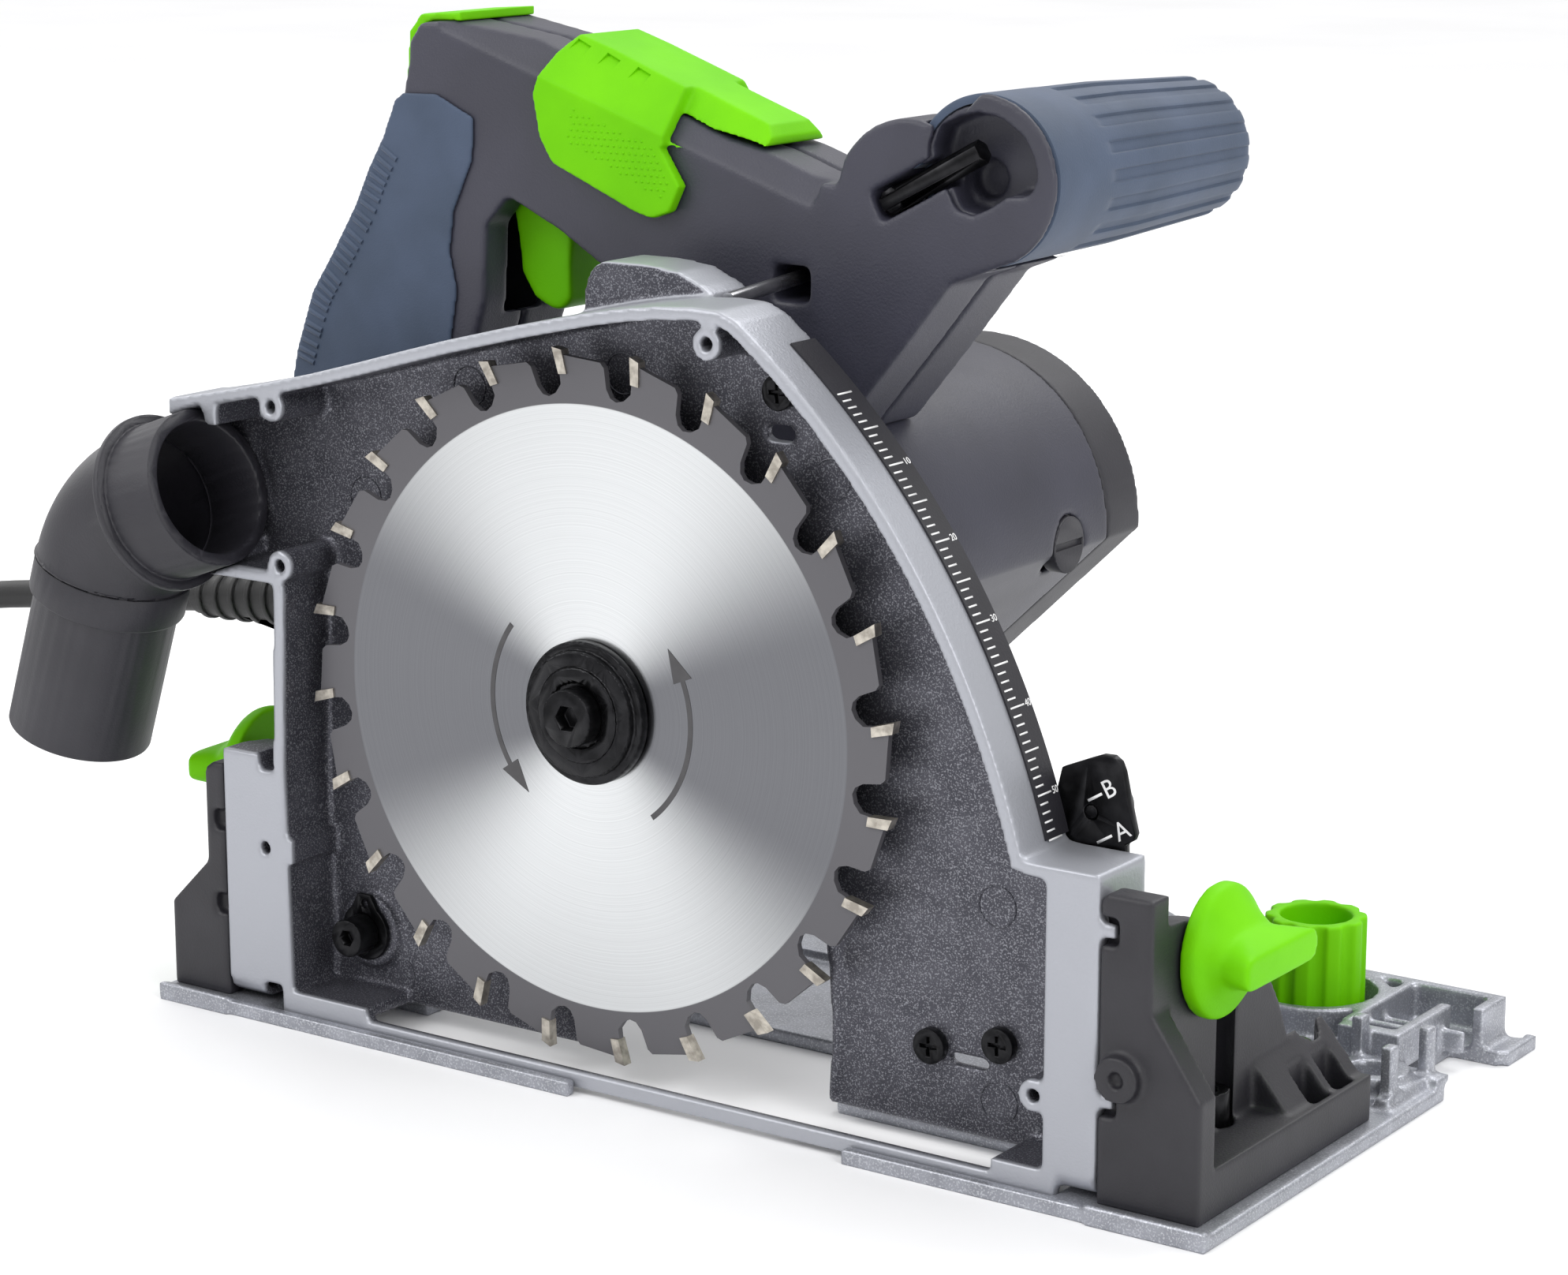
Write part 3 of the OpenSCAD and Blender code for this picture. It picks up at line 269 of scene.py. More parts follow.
def makeBladeSteel():
    # saw plate: ground in circles inside, lacquered dark outside; a painted bow-tie highlight, bright above and
    # below the arbor with painted shade to its sides, is mixed into the colour
    look = bladeLook
    material, tree, shader, place = startMaterial("circleGroundSteel", {
        "Metallic": look["metal"][0], "Anisotropic": look["anisotropy"],
        "Roughness": look["rough"][0]})
    plane, radius = radiusFrom(tree, place, arbor)
    edge = look["ringMm"] * mm
    share = addNode(tree, "ShaderNodeMapRange", {
        "From Min": edge, "From Max": edge + look["edgeMm"] * mm}, {"Value": radius})
    lines = addNode(tree, "ShaderNodeTexNoise", {
        "noise_dimensions": "1D", "Scale": 1000 / look["lineMm"], "Detail": 2.0}, {"W": radius})
    pale = addNode(tree, "ShaderNodeMapRange", {
        "To Min": look["lineTone"][0], "To Max": look["lineTone"][1]}, {
        "Value": lines.outputs["Fac"]})
    parts = addNode(tree, "ShaderNodeSeparateXYZ", None, {0: plane})
    # painted bow-tie: steepness around the arbor mixes the painted shade colour at the sides into the painted
    # highlight colour above and below
    steep = addNode(tree, "ShaderNodeMath", {"operation": "DIVIDE"}, {
        0: parts.outputs["Z"], 1: radius})
    upright = addNode(tree, "ShaderNodeMath", {"operation": "ABSOLUTE"}, {0: steep.outputs[0]})
    paintedTie = addNode(tree, "ShaderNodeMapRange", {
        "interpolation_type": "SMOOTHSTEP", "From Min": look["paintedTie"][0],
        "From Max": look["paintedTie"][1]}, {"Value": upright.outputs[0]})
    shade = addNode(tree, "ShaderNodeMix", {"data_type": "RGBA"}, {
        "Factor": paintedTie.outputs["Result"]})
    shade.inputs["A"].default_value = linear(look["side"])
    shade.inputs["B"].default_value = linear(look["disc"])
    disc = addNode(tree, "ShaderNodeMix", {
        "data_type": "RGBA", "blend_type": "MULTIPLY", "Factor": 1.0})
    tree.links.new(shade.outputs["Result"], disc.inputs["A"])
    tree.links.new(pale.outputs["Result"], disc.inputs["B"])
    mix = addNode(tree, "ShaderNodeMix", {"data_type": "RGBA"}, {
        "Factor": share.outputs["Result"]})
    tree.links.new(disc.outputs["Result"], mix.inputs["A"])
    mix.inputs["B"].default_value = linear(look["ring"])
    tree.links.new(mix.outputs["Result"], shader.inputs["Base Color"])
    for socket, (onDisc, onRing) in (("Metallic", look["metal"]), ("Roughness", look["rough"])):
        change = addNode(tree, "ShaderNodeMapRange", {"To Min": onDisc, "To Max": onRing}, {
            "Value": share.outputs["Result"]})
        tree.links.new(change.outputs["Result"], shader.inputs[socket])
    bump = addNode(tree, "ShaderNodeBump", {"Distance": look["lineDepthMm"] * mm}, {
        "Height": lines.outputs["Fac"]})
    tree.links.new(bump.outputs["Normal"], shader.inputs["Normal"])
    around = addNode(tree, "ShaderNodeTangent", {"direction_type": "RADIAL", "axis": "Y"})
    tree.links.new(around.outputs["Tangent"], shader.inputs["Tangent"])
    return material


finish["circleGroundSteel"] = makeBladeSteel()

guardLook = {  # millimetres; each pair is where the light outside colour starts to show over the painted chamber shade and where it is full
    # finish holds the painted shade tones for the inside of the blade chamber
    "finish": {
        "dark": "#43434b", "light": "#515159", "cloudMm": 9, "speck": "#8b8c93", "speckMm": 0.4,
        "grainMm": 0.7, "depthMm": 0.08, "rough": (0.4, 0.5)},
    "rim": "#a9abb2", "metal": 0.6, "edgeY": (-7.2, -8.2), "edgeR": (196.0, 196.8),
    "slope": (0.45, 0.65), "topZ": 148, "backY": 10.2}


def makeGuardCasting():
    # the same casting: a darker painted shade inside the blade chamber, and its light bare colour on its rim and
    # its outer faces, upward faces up high and its back among them
    material, tree, shader, place = startMaterial(
        "shadedChamberCasting", {"Metallic": guardLook["metal"]})
    # painted shade: the darker tint covers the inside of the blade chamber
    chamberShadeColour = tint(tree, shader, place, guardLook["finish"])
    grain(tree, shader, place, guardLook["finish"])
    parts = addNode(tree, "ShaderNodeSeparateXYZ", None, {0: place})
    facing = addNode(tree, "ShaderNodeTexCoord")
    normal = addNode(tree, "ShaderNodeSeparateXYZ", None, {0: facing.outputs["Normal"]})
    radius = radiusFrom(tree, place, pivot)[1]

    def between(limits, scale, value):
        start, full = limits
        return addNode(tree, "ShaderNodeMapRange", {
            "From Min": start * scale, "From Max": full * scale}, {
            "Value": value}).outputs["Result"]

    def combine(operation, one, two):
        # two is a socket, or a fixed length in millimetres
        fixed = isinstance(two, (int, float))
        settings = {"operation": operation, **({1: two * mm} if fixed else {})}
        return addNode(tree, "ShaderNodeMath", settings, {
            0: one, **({} if fixed else {1: two})}).outputs[0]

    edge = between(guardLook["edgeY"], mm, parts.outputs["Y"])
    rim = between(guardLook["edgeR"], mm, radius)
    upward = between(guardLook["slope"], 1, normal.outputs["Z"])
    high = combine("GREATER_THAN", parts.outputs["Z"], guardLook["topZ"])
    back = combine("GREATER_THAN", parts.outputs["Y"], guardLook["backY"])
    outer = combine("MAXIMUM", combine("MULTIPLY", upward, high), back)
    outsideShare = combine("MAXIMUM", combine("MAXIMUM", edge, rim), outer)
    mix = addNode(tree, "ShaderNodeMix", {"data_type": "RGBA"}, {"Factor": outsideShare})
    tree.links.new(chamberShadeColour, mix.inputs["A"])
    mix.inputs["B"].default_value = linear(guardLook["rim"])
    tree.links.new(mix.outputs["Result"], shader.inputs["Base Color"])
    return material


finish["shadedChamberCasting"] = makeGuardCasting()

slotFinish = {
    "cast": "powderCoatedCasting", "bracket_abs": "blackMouldedNylon",
    "lime_abs": "limeMouldedAbs",
    "steel": "turnedSteel", "black_steel": "blackOxideSteel", "charcoal_abs": "charcoalMouldedAbs",
    "cap_abs": "capMouldedAbs", "soft_tpe": "overmouldedTpe", "cord_rubber": "extrudedRubber",
    "scale_print": "blackMouldedNylon", "blade_steel": "circleGroundSteel",
    "carbide": "groundCarbide",
    "flange": "blackOxideSteel", "copper": "turnedCopper", "carbon": "pressedCarbon",
    "lamination": "stackedLaminations",
}
nodeSlot = {s["node"]: s["material_slot"] for s in frame["record"]["subparts"]}
nodeBody = {n: b for b, names in frame["record"]["behaviour"]["bodies"].items() for n in names}


def nodeFinish(name):
    return "shadedChamberCasting" if name == "guard_casting" else slotFinish[nodeSlot[name]]


def finishNodes():
    for name, node in frame["nodes"].items():
        node.data.materials.clear()
        node.data.materials.append(finish[nodeFinish(name)])


finishNodes()
print("materials made")


def addPiece(name, bm, node, nodes=(), modifiers=(), sharp=None, look=None):
    # node gives the body and the finish; nodes are the ones that the piece stands for
    mesh = bpy.data.meshes.new(name)
    bm.to_mesh(mesh)
    bm.free()
    piece = bpy.data.objects.new(name, mesh)
    bpy.context.scene.collection.objects.link(piece)
    for kind, settings in modifiers:
        modifier = piece.modifiers.new(kind, kind)
        for key, value in settings.items():
            setattr(modifier, key, value)
    if modifiers:
        graph = bpy.context.evaluated_depsgraph_get()
        piece.data = bpy.data.meshes.new_from_object(piece.evaluated_get(graph), depsgraph=graph)
        piece.modifiers.clear()
    piece.data.materials.clear()
    piece.data.materials.append(look or finish[nodeFinish(node)])
    piece.data.polygons.foreach_set("use_smooth", [True] * len(piece.data.polygons))
    if sharp is not None:
        piece.data.set_sharp_from_angle(angle=math.radians(sharp))
    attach(piece, nodeBody[node])
    if nodes:
        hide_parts(*nodes)
    return piece


edgeLook = {"weld": 2e-6, "flat": 0.5, "roundFrom": 38, "sharp": 40}  # metres, then degrees


def copyNode(node):
    bm = bmesh.new()
    bm.from_mesh(frame["nodes"][node].data)
    bmesh.ops.remove_doubles(bm, verts=bm.verts, dist=edgeLook["weld"])
    return bm


def breakEdges(node, width, segments=2):
    # the node's own shape with its sharp edges rounded
    bm = copyNode(node)
    bmesh.ops.dissolve_limit(
        bm, angle_limit=math.radians(edgeLook["flat"]), verts=bm.verts, edges=bm.edges)
    rounding = ("BEVEL", {
        "width": width * mm, "segments": segments, "limit_method": "ANGLE",
        "angle_limit": math.radians(edgeLook["roundFrom"]), "use_clamp_overlap": False,
        "harden_normals": True})
    return addPiece(node + "Rounded", bm, node, [node], [rounding], sharp=edgeLook["sharp"])


def mould(node, voxel, smoothing, keep=0.4):
    # a moulded or cast piece: every edge is melted to a radius that grows with smoothing
    steps = [
        ("REMESH", {"mode": "VOXEL", "voxel_size": voxel * mm, "use_smooth_shade": True}),
        ("SMOOTH", {"factor": 0.5, "iterations": smoothing}),
        ("DECIMATE", {"ratio": keep}),
    ]
    return addPiece(node + "Moulded", copyNode(node), node, [node], steps)


def addBlock(bm, centre, size, turn=None):
    # box of the given size in metres, turned about its centre
    for vert in bmesh.ops.create_cube(bm, size=1)["verts"]:
        local = Vector(vert.co[i] * size[i] for i in range(3))
        vert.co = Vector(centre) + ((turn @ local) if turn else local)


def cutPiece(piece, bm):
    # takes the shapes in bm out of the piece
    mesh = bpy.data.meshes.new("cutter")
    bm.to_mesh(mesh)
    bm.free()
    cutter = bpy.data.objects.new("cutter", mesh)
    bpy.context.scene.collection.objects.link(cutter)
    modifier = piece.modifiers.new("cut", "BOOLEAN")
    modifier.object = cutter
    modifier.operation = "DIFFERENCE"
    modifier.solver = "EXACT"
    graph = bpy.context.evaluated_depsgraph_get()
    piece.data = bpy.data.meshes.new_from_object(piece.evaluated_get(graph), depsgraph=graph)
    piece.modifiers.clear()
    bpy.data.objects.remove(cutter)
    piece.data.polygons.foreach_set("use_smooth", [True] * len(piece.data.polygons))
    piece.data.set_sharp_from_angle(angle=math.radians(edgeLook["sharp"]))


def joinRings(bm, rings):
    # skin over rings of equal count, closed at both ends
    for one, two in zip(rings, rings[1:]):
        for i in range(len(one)):
            j = (i + 1) % len(one)
            bm.faces.new((one[i], one[j], two[j], two[i]))
    bm.faces.new(list(reversed(rings[0])))
    bm.faces.new(rings[-1])


def lathe(bm, profile, centre, axis, sides):
    # profile holds (radius, distance along axis) in millimetres; a radius may depend on the angle
    turn = Vector(axis).to_track_quat("Z", "Y").to_matrix()
    rings = []
    for radius, along in profile:
        ring = []
        for i in range(sides):
            a = 2 * math.pi * i / sides
            r = radius(a) if callable(radius) else radius
            local = Vector((r * math.cos(a), r * math.sin(a), along))
            ring.append(bm.verts.new(Vector(centre) + turn @ local * mm))
        rings.append(ring)
    joinRings(bm, rings)


def tubeAlong(bm, points, radius, sides):
    # closed tube through points given in metres
    angles = [2 * math.pi * i / sides for i in range(sides)]
    rings = []
    for k, point in enumerate(points):
        way = (points[min(k + 1, len(points) - 1)] - points[max(k - 1, 0)]).normalized()
        turn = way.to_track_quat("Z", "Y").to_matrix()
        rings.append([bm.verts.new(
            point + turn @ Vector((math.cos(a), math.sin(a), 0)) * radius) for a in angles])
    joinRings(bm, rings)


cordLook = {  # millimetres; the route runs from the boot to the coil, the lead from it to the plug
    "diameter": 7.5,
    "route": [
        (-168, 52, 84), (-185, 52, 82), (-205, 51, 80), (-225, 50, 78), (-245, 50, 75),
        (-263, 51, 70), (-280, 57, 63), (-296, 68, 53), (-309, 84, 43), (-318, 99, 34),
        (-328, 112, 24), (-342, 118, 14), (-356, 119, 7), (-370, 116, 4), (-383, 108, 3.75),
        (-392, 97, 3.75), (-398, 84, 3.75), (-399, 70, 3.75)],
    "lead": [
        (-367, 89, 19), (-376, 83, 23), (-385, 76, 27), (-393, 66, 28), (-399, 54, 30),
        (-400, 43, 33), (-395, 33, 38), (-385, 26, 40), (-372, 22, 41)],
    "coil": (-350, 60), "turnRadii": (48.5, 41, 33.5, 33.5, 41, 48.5, 48.5, 41, 33.5),
    "middleRadius": 41, "perLayer": 3, "firstAngle": 183.5, "turns": 8.79, "stepsPerTurn": 36,
    "crossFrom": 0.8, "crossLong": 0.2, "bulge": 3.6}


def smoothStep(t):
    t = min(max(t, 0.0), 1.0)
    return t * t * (3 - 2 * t)


def coilPoints():
    # three layers of three turns; the cord moves one place over in the last fifth of each turn
    points = []
    radii = cordLook["turnRadii"]
    perLayer = cordLook["perLayer"]
    steps = int(cordLook["turns"] * cordLook["stepsPerTurn"])
    for i in range(steps + 1):
        done = i * cordLook["turns"] / steps
        turn = min(int(done), len(radii) - 1)
        after = min(turn + 1, len(radii) - 1)
        share = smoothStep((done - turn - cordLook["crossFrom"]) / cordLook["crossLong"])
        radius = radii[turn] + (radii[after] - radii[turn]) * share
        if radii[turn] == radii[after]:
            side = 1 if radii[turn] > cordLook["middleRadius"] else -1
            radius += side * cordLook["bulge"] * math.sin(math.pi * share)
        layer = turn // perLayer + (after // perLayer - turn // perLayer) * share
        angle = math.radians(cordLook["firstAngle"] + 360 * done)
        points.append((
            cordLook["coil"][0] + radius * math.cos(angle),
            cordLook["coil"][1] + radius * math.sin(angle),
            cordLook["diameter"] * (layer + 0.5)))
    return points


def throughPoints(points, parts):
    # smooth line through the points, with parts pieces between each two
    line = []
    for i in range(len(points) - 1):
        a, b, c, d = (Vector(points[min(max(i + k, 0), len(points) - 1)]) for k in (-1, 0, 1, 2))
        for n in range(parts):
            t = n / parts
            line.append(0.5 * (2 * b + (c - a) * t + (2 * a - 5 * b + 4 * c - d) * t * t
                               + (3 * b - a - 3 * c + d) * t ** 3))
    line.append(Vector(points[-1]))
    return line


def makeCord():
    path = throughPoints(cordLook["route"], 4) + throughPoints(coilPoints(), 1)
    path = [p * mm for p in path + throughPoints(cordLook["lead"], 4)]
    curve = bpy.data.curves.new("powerCord", "CURVE")
    curve.dimensions = "3D"
    curve.bevel_depth = cordLook["diameter"] / 2 * mm
    curve.bevel_resolution = 3
    curve.use_fill_caps = True
    spline = curve.splines.new("POLY")
    spline.points.add(len(path) - 1)
    for point, place in zip(spline.points, path):
        point.co = (*place, 1)
    curve.materials.append(finish["extrudedRubber"])
    cord = bpy.data.objects.new("powerCord", curve)
    bpy.context.scene.collection.objects.link(cord)
    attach(cord, "saw_head")
    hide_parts("cord_tube", "cord_coil", "plug_lead")
    length = sum((b - a).length for a, b in zip(path, path[1:]))
    return cord, path[0], length


plugLook = {  # (radius, distance from the front of the lead) in millimetres
    "sides": 48, "sharp": 50,
    "profile": [
        (4.2, 0), (5.6, 0.6), (5.8, 3), (5.2, 4), (6.6, 5), (6.8, 8), (6, 9), (7.8, 10), (8.2, 13),
        (7.4, 14), (10, 15.5), (12.5, 19), (16.5, 23), (18, 26), (18.4, 30), (18.4, 41),
        (17.8, 44), (16, 45.8), (0.01, 46)]}


def makePlug():
    low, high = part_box("plug_body")
    bm = bmesh.new()
    centre = Vector((low.x, (low.y + high.y) / 2, (low.z + high.z) / 2))
    lathe(bm, plugLook["profile"], centre, (1, 0, 0), plugLook["sides"])
    return addPiece("plugBody", bm, "plug_body", ["plug_body"], sharp=plugLook["sharp"])


cord, cordExit, cordLength = makeCord()
plug = makePlug()
pins = breakEdges("plug_pins", 0.7)
boot = breakEdges("cord_boot", 0.5, 3)
print("cord length", round(cordLength, 3))

floorLook = {  # size in metres, from the middle to each side
    "size": 20, "ior": 1.45, "dark": "#f4f4f5", "light": "#f9f9fa", "cloudMm": 300,
    "grainMm": 4, "depthMm": 0.02, "rough": (0.5, 0.6)}


def makeFloor():
    material, tree, shader, place = startMaterial("paleStudioFloor", {"IOR": floorLook["ior"]})
    tint(tree, shader, place, floorLook)
    grain(tree, shader, place, floorLook)
    bm = bmesh.new()
    bmesh.ops.create_grid(bm, x_segments=1, y_segments=1, size=floorLook["size"])
    mesh = bpy.data.meshes.new("studioFloor")
    bm.to_mesh(mesh)
    bm.free()
    floor = bpy.data.objects.new("studioFloor", mesh)
    mesh.materials.append(material)
    bpy.context.scene.collection.objects.link(floor)


makeFloor()
print("cord and floor made")

edgeWidths = {  # millimetres
    "bracket_screws": 0.3, "guard_screws": 0.2, "pivot_pin": 0.3, "pivot_clip": 0.25,
    "depth_stop": 0.3, "dust_elbow": 0.5, "outer_flange": 0.45, "blade_bolt": 0.35,
    "brush_caps": 0.3, "lock_bolts": 0.3, "cap_screws": 0.3, "handle_screws": 0.25,
    "hex_key": 0.2, "depth_stop_clamp": 0.4, "gear_case": 0.5,
}
for node, width in edgeWidths.items():
    breakEdges(node, width)
print("edges rounded")

moulds = {  # voxel in millimetres, smoothing passes
    "guard_casting": (0.8, 3), "base_plate": (0.8, 2), "front_bracket": (0.7, 3),
    "rear_bracket": (0.7, 3), "trigger": (0.6, 12), "rear_trim": (0.5, 8),
    "front_bevel_knob": (0.6, 14), "rear_bevel_knob": (0.6, 14), "front_rail_cam": (0.45, 6),
    "rear_rail_cam": (0.45, 6), "rear_soft_grip": (0.6, 5), "front_handle_core": (0.7, 6),
    "motor_housing": (0.9, 6), "motor_end_cap": (0.8, 8), "handle_near": (0.8, 12),
    "handle_far": (0.8, 12),
}
for node, (voxel, smoothing) in moulds.items():
    mould(node, voxel, smoothing)
print("mouldings softened")

saddleLook = {  # millimetres; shallow thumb pockets on both shoulders, small dots on the side
    "voxel": 0.45, "smoothing": 10, "keep": 0.5,
    "pockets": [  # line that each pocket follows, from the edge upwards
        ((-33.7, 31.5, 227.9), (-30.6, 39.8, 233.5)), ((-25.2, 31.5, 224.9), (-22.2, 39.8, 230.6)),
        ((-16.6, 31.5, 222.1), (-13.6, 39.8, 227.8))],
    "pocketFrom": 0.22, "pocketWidth": 4.2, "pocketDepth": 0.8, "topSlope": (0.949, 0, -0.314),
    "dotStart": (-32, 199), "dotRows": 14, "dotColumns": 22, "dotPitch": 1.75, "dotRowStep": 0.87,
    "dotRadius": 0.42, "dotSunk": 0.12,
    "dotField": [(-30.5, 212), (-10.5, 203.2), (-2.2, 199.6), (0.2, 204), (-6, 212), (-28, 219)]}


def insidePolygon(x, z, outline):
    crossings = 0
    for (x0, z0), (x1, z1) in zip(outline, outline[1:] + outline[:1]):
        if (z0 > z) != (z1 > z) and x < x0 + (z - z0) * (x1 - x0) / (z1 - z0):
            crossings += 1
    return crossings % 2 == 1


def makeSaddle():
    look = saddleLook
    near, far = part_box("release_saddle")
    saddle = mould("release_saddle", look["voxel"], look["smoothing"], look["keep"])
    middle = (near.y + far.y) / 2 / mm
    bm = bmesh.new()
    for low, high in look["pockets"]:
        for side in (-1, 1):
            one, two = Vector(low), Vector(high)
            if side > 0:
                one.y, two.y = 2 * middle - one.y, 2 * middle - two.y
            one += (two - one) * look["pocketFrom"]
            long = (two - one).normalized()
            slope = Vector(look["topSlope"])
            across = (slope - long * slope.dot(long)).normalized()
            out = long.cross(across)
            if out.z < 0:
                out.negate()
                across.negate()
            turn = Matrix((long, across, out)).transposed()
            size = Vector(((two - one).length, look["pocketWidth"], 2 * look["pocketDepth"]))
            addBlock(bm, (one + two) / 2 * mm, size * mm, turn)
    cutPiece(saddle, bm)
    dots = bmesh.new()
    for row in range(look["dotRows"]):
        for column in range(look["dotColumns"]):
            x = look["dotStart"][0] + (column + row % 2 / 2) * look["dotPitch"]
            z = look["dotStart"][1] + row * look["dotPitch"] * look["dotRowStep"]
            if insidePolygon(x, z, look["dotField"]):
                dome = bmesh.ops.create_icosphere(
                    dots, subdivisions=1, radius=look["dotRadius"] * mm)["verts"]
                place = (x * mm, near.y + look["dotSunk"] * mm, z * mm)
                bmesh.ops.translate(dots, verts=dome, vec=place)
    addPiece("saddleDots", dots, "release_saddle")


makeSaddle()

gripLook = {  # millimetres; a plain band, then fine flutes to the rounded end
    "recess": [(0.05, 14.0), (16.75, 14.0), (16.75, 0.1), (18.1, 0.1), (18.62, 0.5)],
    "start": 0.5, "spare": 0.7, "radius": 18.72, "thin": (43.7, 0.5), "taper": (46.8, 1.9),
    "flutes": 18, "fluteDepth": 0.75, "fluteEdge": (-0.1, 0.5), "plainTo": 0.235, "fade": 0.04,
    "roundLong": 0.05, "roundDrop": 2.4, "endRadius": 12.4, "steps": 60, "sides": 288,
    "keySlot": (60, 38, 205.6), "keySlotSize": (14, 9.6, 7.4), "keySlotTurn": -28}


def makeFrontGrip():
    look = gripLook
    low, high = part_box("front_grip")
    centre = Vector(((low.x + high.x) / 2, low.y, (low.z + high.z) / 2))
    length = (high.y - low.y) / mm
    thinLong, thinDrop = look["thin"]
    taperLong, taperDrop = look["taper"]
    fluteFrom, fluteWide = look["fluteEdge"]
    profile = list(look["recess"])
    for i in range(1, look["steps"]):
        share = i / look["steps"]
        y = look["start"] + (length - look["spare"]) * share
        base = look["radius"] - thinDrop * min(1, y / thinLong)
        base -= taperDrop * max(0, y - thinLong) / taperLong
        fluted = smoothStep((share - look["plainTo"]) / look["fade"])
        end = max(0.0, share - 1 + look["roundLong"]) / look["roundLong"]
        base -= look["roundDrop"] * end * end
        depth = look["fluteDepth"] * fluted * (1 - end)

        def radius(a, base=base, depth=depth):
            wave = math.cos(a * look["flutes"])
            return base - depth * smoothStep((wave - fluteFrom) / fluteWide)

        profile.append((radius, y))
    profile += [(look["endRadius"], length - 0.1), (0.05, length)]
    bm = bmesh.new()
    lathe(bm, profile, centre, (0, 1, 0), look["sides"])
    sleeve = addPiece("frontGripSleeve", bm, "front_grip", ["front_grip"], sharp=60)
    slot = bmesh.new()
    turn = Matrix.Rotation(math.radians(look["keySlotTurn"]), 3, "Y")
    addBlock(slot, Vector(look["keySlot"]) * mm, Vector(look["keySlotSize"]) * mm, turn)
    cutPiece(sleeve, slot)


makeFrontGrip()

ribLook = {  # millimetres; ribs across the back edge of the soft grip
    "pitch": 2.5, "radius": 0.75, "sideGap": 0.2, "sides": 8,
    "bend": [(6.5, 0), (1.6, 0), (0.5, 1.1), (-0.05, 4)],  # depth in the grip, then from its side
    "edge": [(-116.9, 155), (-111.2, 170), (-103.6, 181.2), (-96.5, 192.4), (-92, 201.4),
             (-87.8, 208.5)]}


def makeRibs():
    low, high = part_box("rear_soft_grip")
    near, far = low.y / mm + ribLook["sideGap"], high.y / mm - ribLook["sideGap"]
    path = [(depth, near + inset) for depth, inset in ribLook["bend"]]
    path += [(depth, far - inset) for depth, inset in reversed(ribLook["bend"])]
    bm = bmesh.new()
    line = throughPoints([(x, 0, z) for x, z in ribLook["edge"]], 12)
    walked, due = 0.0, 0.0
    for a, b in zip(line, line[1:]):
        walked += (b - a).length
        if walked < due:
            continue
        due += ribLook["pitch"]
        inward = (b - a).normalized().cross(Vector((0, -1, 0)))
        if inward.x < 0:
            inward.negate()
        points = [(a + inward * depth + Vector((0, y, 0))) * mm for depth, y in path]
        tubeAlong(bm, points, ribLook["radius"] * mm, ribLook["sides"])
    addPiece("rearGripRibs", bm, "rear_soft_grip", sharp=60)


makeRibs()
print("grips made")

arrowLook = {  # millimetres and degrees; plain arrows that show which way the blade turns
    "radius": 28.0, "width": 1.3, "thick": 0.05, "gap": 0.02, "spans": [(142, 214), (-52, 22)],
    "parts": 24, "headTurn": 16.4, "headWidth": 5.4, "tip": 0.02}


def makeArrows():
    look = arrowLook
    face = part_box("blade_plate")[0].y / mm - look["gap"]
    bm = bmesh.new()

    def at(radius, degrees, y):
        a = math.radians(degrees)
        return bm.verts.new(Vector((radius * math.cos(a), y, radius * math.sin(a))) * mm
                            + Vector((arbor.x, 0, arbor.z)))

    for start, stop in look["spans"]:
        marks = [(start + (stop - start) * i / look["parts"], look["width"] / 2)
                 for i in range(look["parts"] + 1)]
        marks += [(stop, look["headWidth"] / 2), (stop + look["headTurn"], look["tip"])]
        rows = [[at(look["radius"] + side * half, degrees, y)
                 for y in (face, face - look["thick"]) for side in (-1, 1)]
                for degrees, half in marks]
        for one, two in zip(rows, rows[1:]):
            for i, j in ((0, 1), (3, 2), (1, 3), (2, 0)):
                bm.faces.new((one[i], one[j], two[j], two[i]))
        bm.faces.new([rows[0][i] for i in (0, 2, 3, 1)])
        bm.faces.new([rows[-1][i] for i in (1, 3, 2, 0)])
    bmesh.ops.recalc_face_normals(bm, faces=bm.faces)
    addPiece("bladeArrows", bm, "blade_plate", sharp=30, look=finish["printedInk"])


makeArrows()

scaleLook = {  # millimetres and degrees about the plunge pivot
    "radius": 199.14, "first": 46.2, "last": 15.3, "marks": 57, "longEvery": 5, "numberEvery": 10,
    "from": 2.3, "short": 5.4, "long": 7.6, "width": 0.4, "thick": 0.1,
    "numbers": 2.3, "numberY": 9.2}


def scaleAngle(mark):
    span = scaleLook["last"] - scaleLook["first"]
    return scaleLook["first"] + span * mark / (scaleLook["marks"] - 1)


def makeScale():
    bm = bmesh.new()
    start = scaleLook["from"]
    for i in range(scaleLook["marks"]):
        reach = scaleLook["long"] if i % scaleLook["longEvery"] == 0 else scaleLook["short"]
        turn = Matrix.Rotation(-math.radians(scaleAngle(i)), 3, "Y")
        centre = turn @ Vector((scaleLook["radius"], (start + reach) / 2, 0)) * mm + pivot
        size = (scaleLook["thick"] * mm, (reach - start) * mm, scaleLook["width"] * mm)
        addBlock(bm, centre, size, turn)
    addPiece("scaleMarks", bm, "depth_scale", look=finish["whitePrint"])


letterLook = {"thick": 0.04, "steps": 3}  # half thickness in millimetres, pieces in each curve


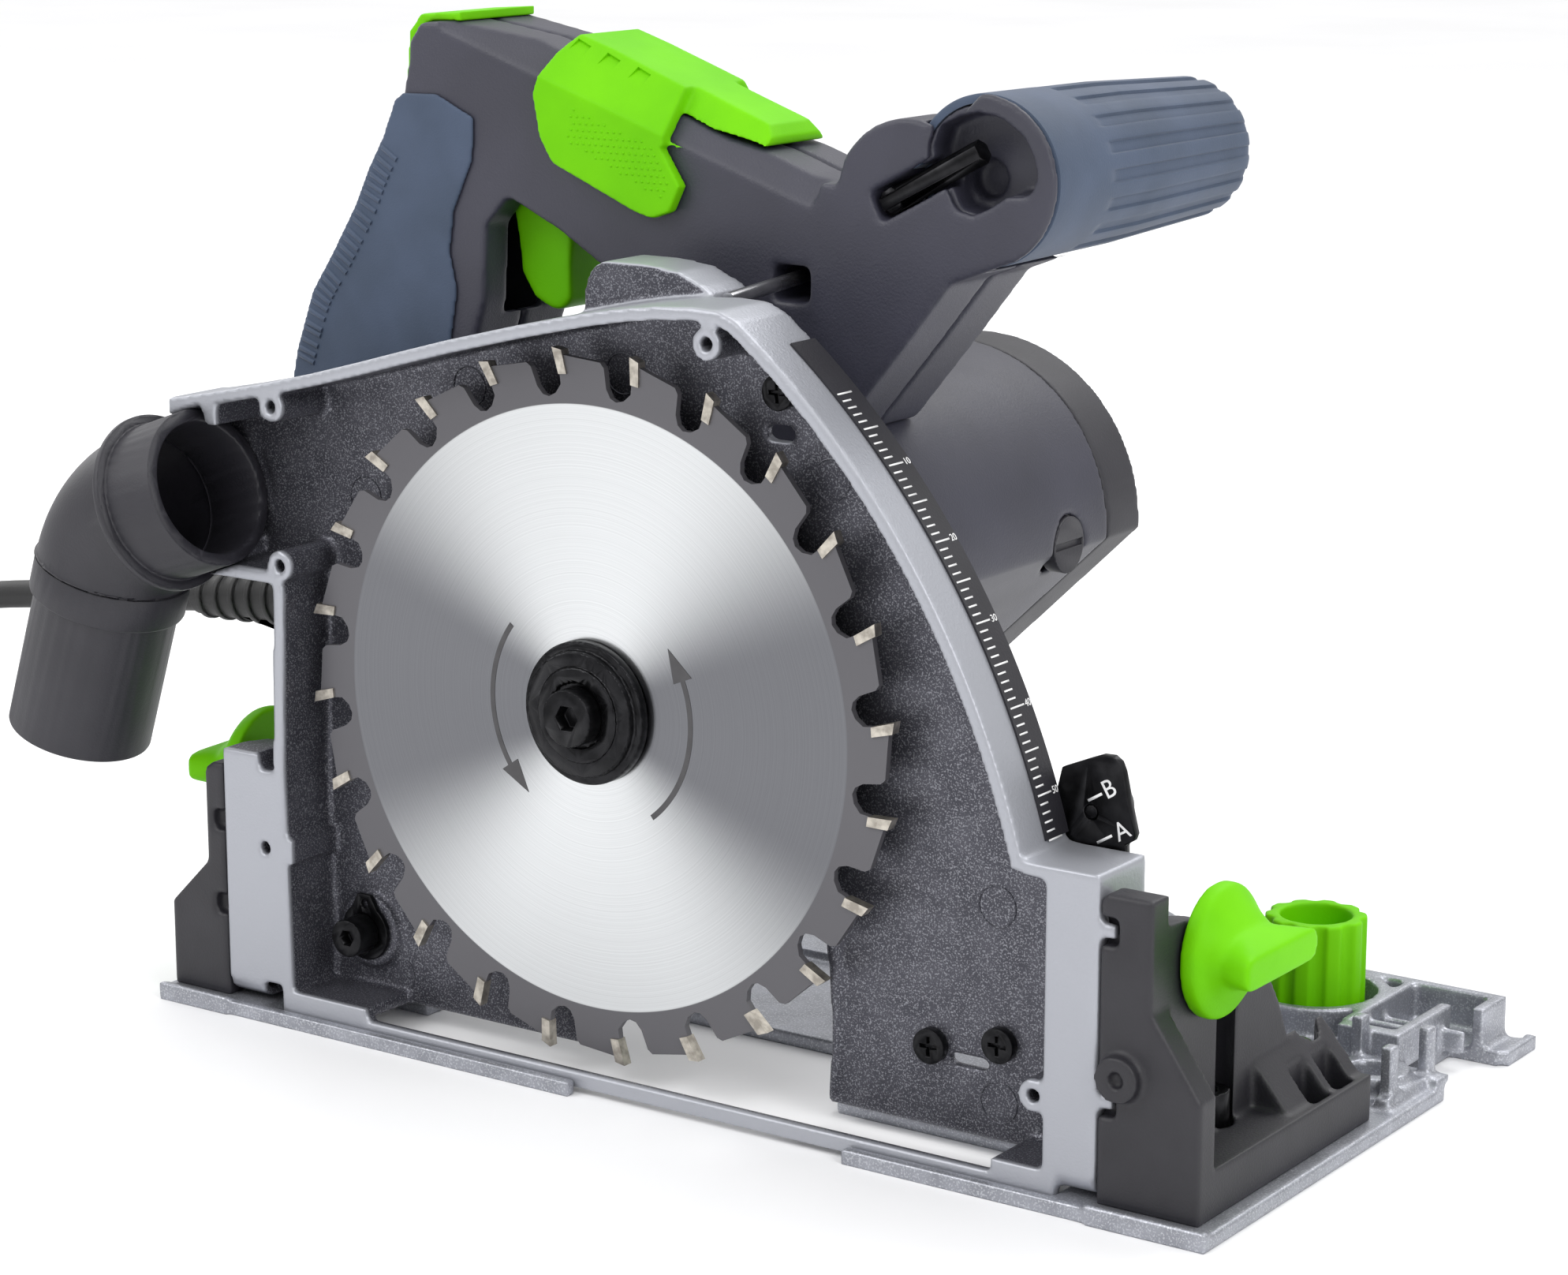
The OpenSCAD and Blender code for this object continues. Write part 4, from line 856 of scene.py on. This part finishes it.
def makeLetters(name, text, size, node, place, turn):
    data = bpy.data.curves.new(name, "FONT")
    data.body = text
    data.size = size * mm
    data.align_x = "CENTER"
    data.align_y = "CENTER"
    data.extrude = letterLook["thick"] * mm
    data.resolution_u = letterLook["steps"]
    holder = bpy.data.objects.new(name, data)
    bpy.context.scene.collection.objects.link(holder)
    graph = bpy.context.evaluated_depsgraph_get()
    mesh = bpy.data.meshes.new_from_object(holder.evaluated_get(graph), depsgraph=graph)
    bpy.data.objects.remove(holder)
    mesh.transform(Matrix.Translation(place) @ turn.to_4x4())
    bm = bmesh.new()
    bm.from_mesh(mesh)
    addPiece(name, bm, node, sharp=30, look=finish["whitePrint"])


def makeNumbers():
    step = scaleLook["numberEvery"]
    for number in range(step, scaleLook["marks"] - 1, step):
        angle = math.radians(scaleAngle(number))
        out = Vector((math.cos(angle), 0, math.sin(angle)))
        down = Vector((math.sin(angle), 0, -math.cos(angle)))
        turn = Matrix((Vector((0, 1, 0)), -down, out)).transposed()
        place = pivot + out * scaleLook["radius"] * mm + Vector((0, scaleLook["numberY"] * mm, 0))
        makeLetters(f"scaleNumber{number}", str(number), scaleLook["numbers"], "depth_scale",
                    place, turn)


stopLook = {  # millimetres: each letter, its place, and the two ends of its line
    "marks": [("B", (127.6, 86.9), (122.6, 83.7), (125.9, 85.7)),
              ("A", (130.9, 78.3), (125.0, 74.9), (128.5, 77.0))],
    "size": 5.6, "line": 0.6, "thick": 0.08, "letterGap": 0.01, "lineGap": 0.03}


def makeStopMarks():
    look = stopLook
    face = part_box("depth_stop")[0].y / mm
    bm = bmesh.new()
    for letter, (x, z), start, end in look["marks"]:
        along = Vector((end[0] - start[0], 0, end[1] - start[1]))
        out = along.normalized()
        turn = Matrix((out, Vector((0, 1, 0)).cross(out) * -1, Vector((0, -1, 0)))).transposed()
        makeLetters("stopLetter" + letter, letter, look["size"], "depth_stop",
                    Vector((x, face - look["letterGap"], z)) * mm, turn)
        centre = Vector((
            (start[0] + end[0]) / 2, face - look["lineGap"], (start[1] + end[1]) / 2)) * mm
        addBlock(bm, centre, Vector((along.length, look["line"], look["thick"])) * mm, turn)
    addPiece("stopLines", bm, "depth_stop", look=finish["whitePrint"])


ringLook = {  # millimetres; faint circles that the mould's pins leave on the wall
    "places": [(-40, 157), (4, 164), (-72, 128), (96, 108), (103, 58), (104, 14), (-65, 12),
               (60, 146)],
    "wall": 7.46, "radius": 4.6, "line": 0.35, "steps": 32, "sides": 6}


def makeEjectorRings():
    bm = bmesh.new()
    angles = [2 * math.pi * i / ringLook["steps"] for i in range(ringLook["steps"] + 1)]
    for x, z in ringLook["places"]:
        points = [Vector((x + ringLook["radius"] * math.cos(a), ringLook["wall"],
                          z + ringLook["radius"] * math.sin(a))) * mm for a in angles]
        tubeAlong(bm, points, ringLook["line"] / 2 * mm, ringLook["sides"])
    addPiece("ejectorRings", bm, "guard_casting", sharp=60)


makeScale()
makeNumbers()
makeStopMarks()
makeEjectorRings()
print("marks made")
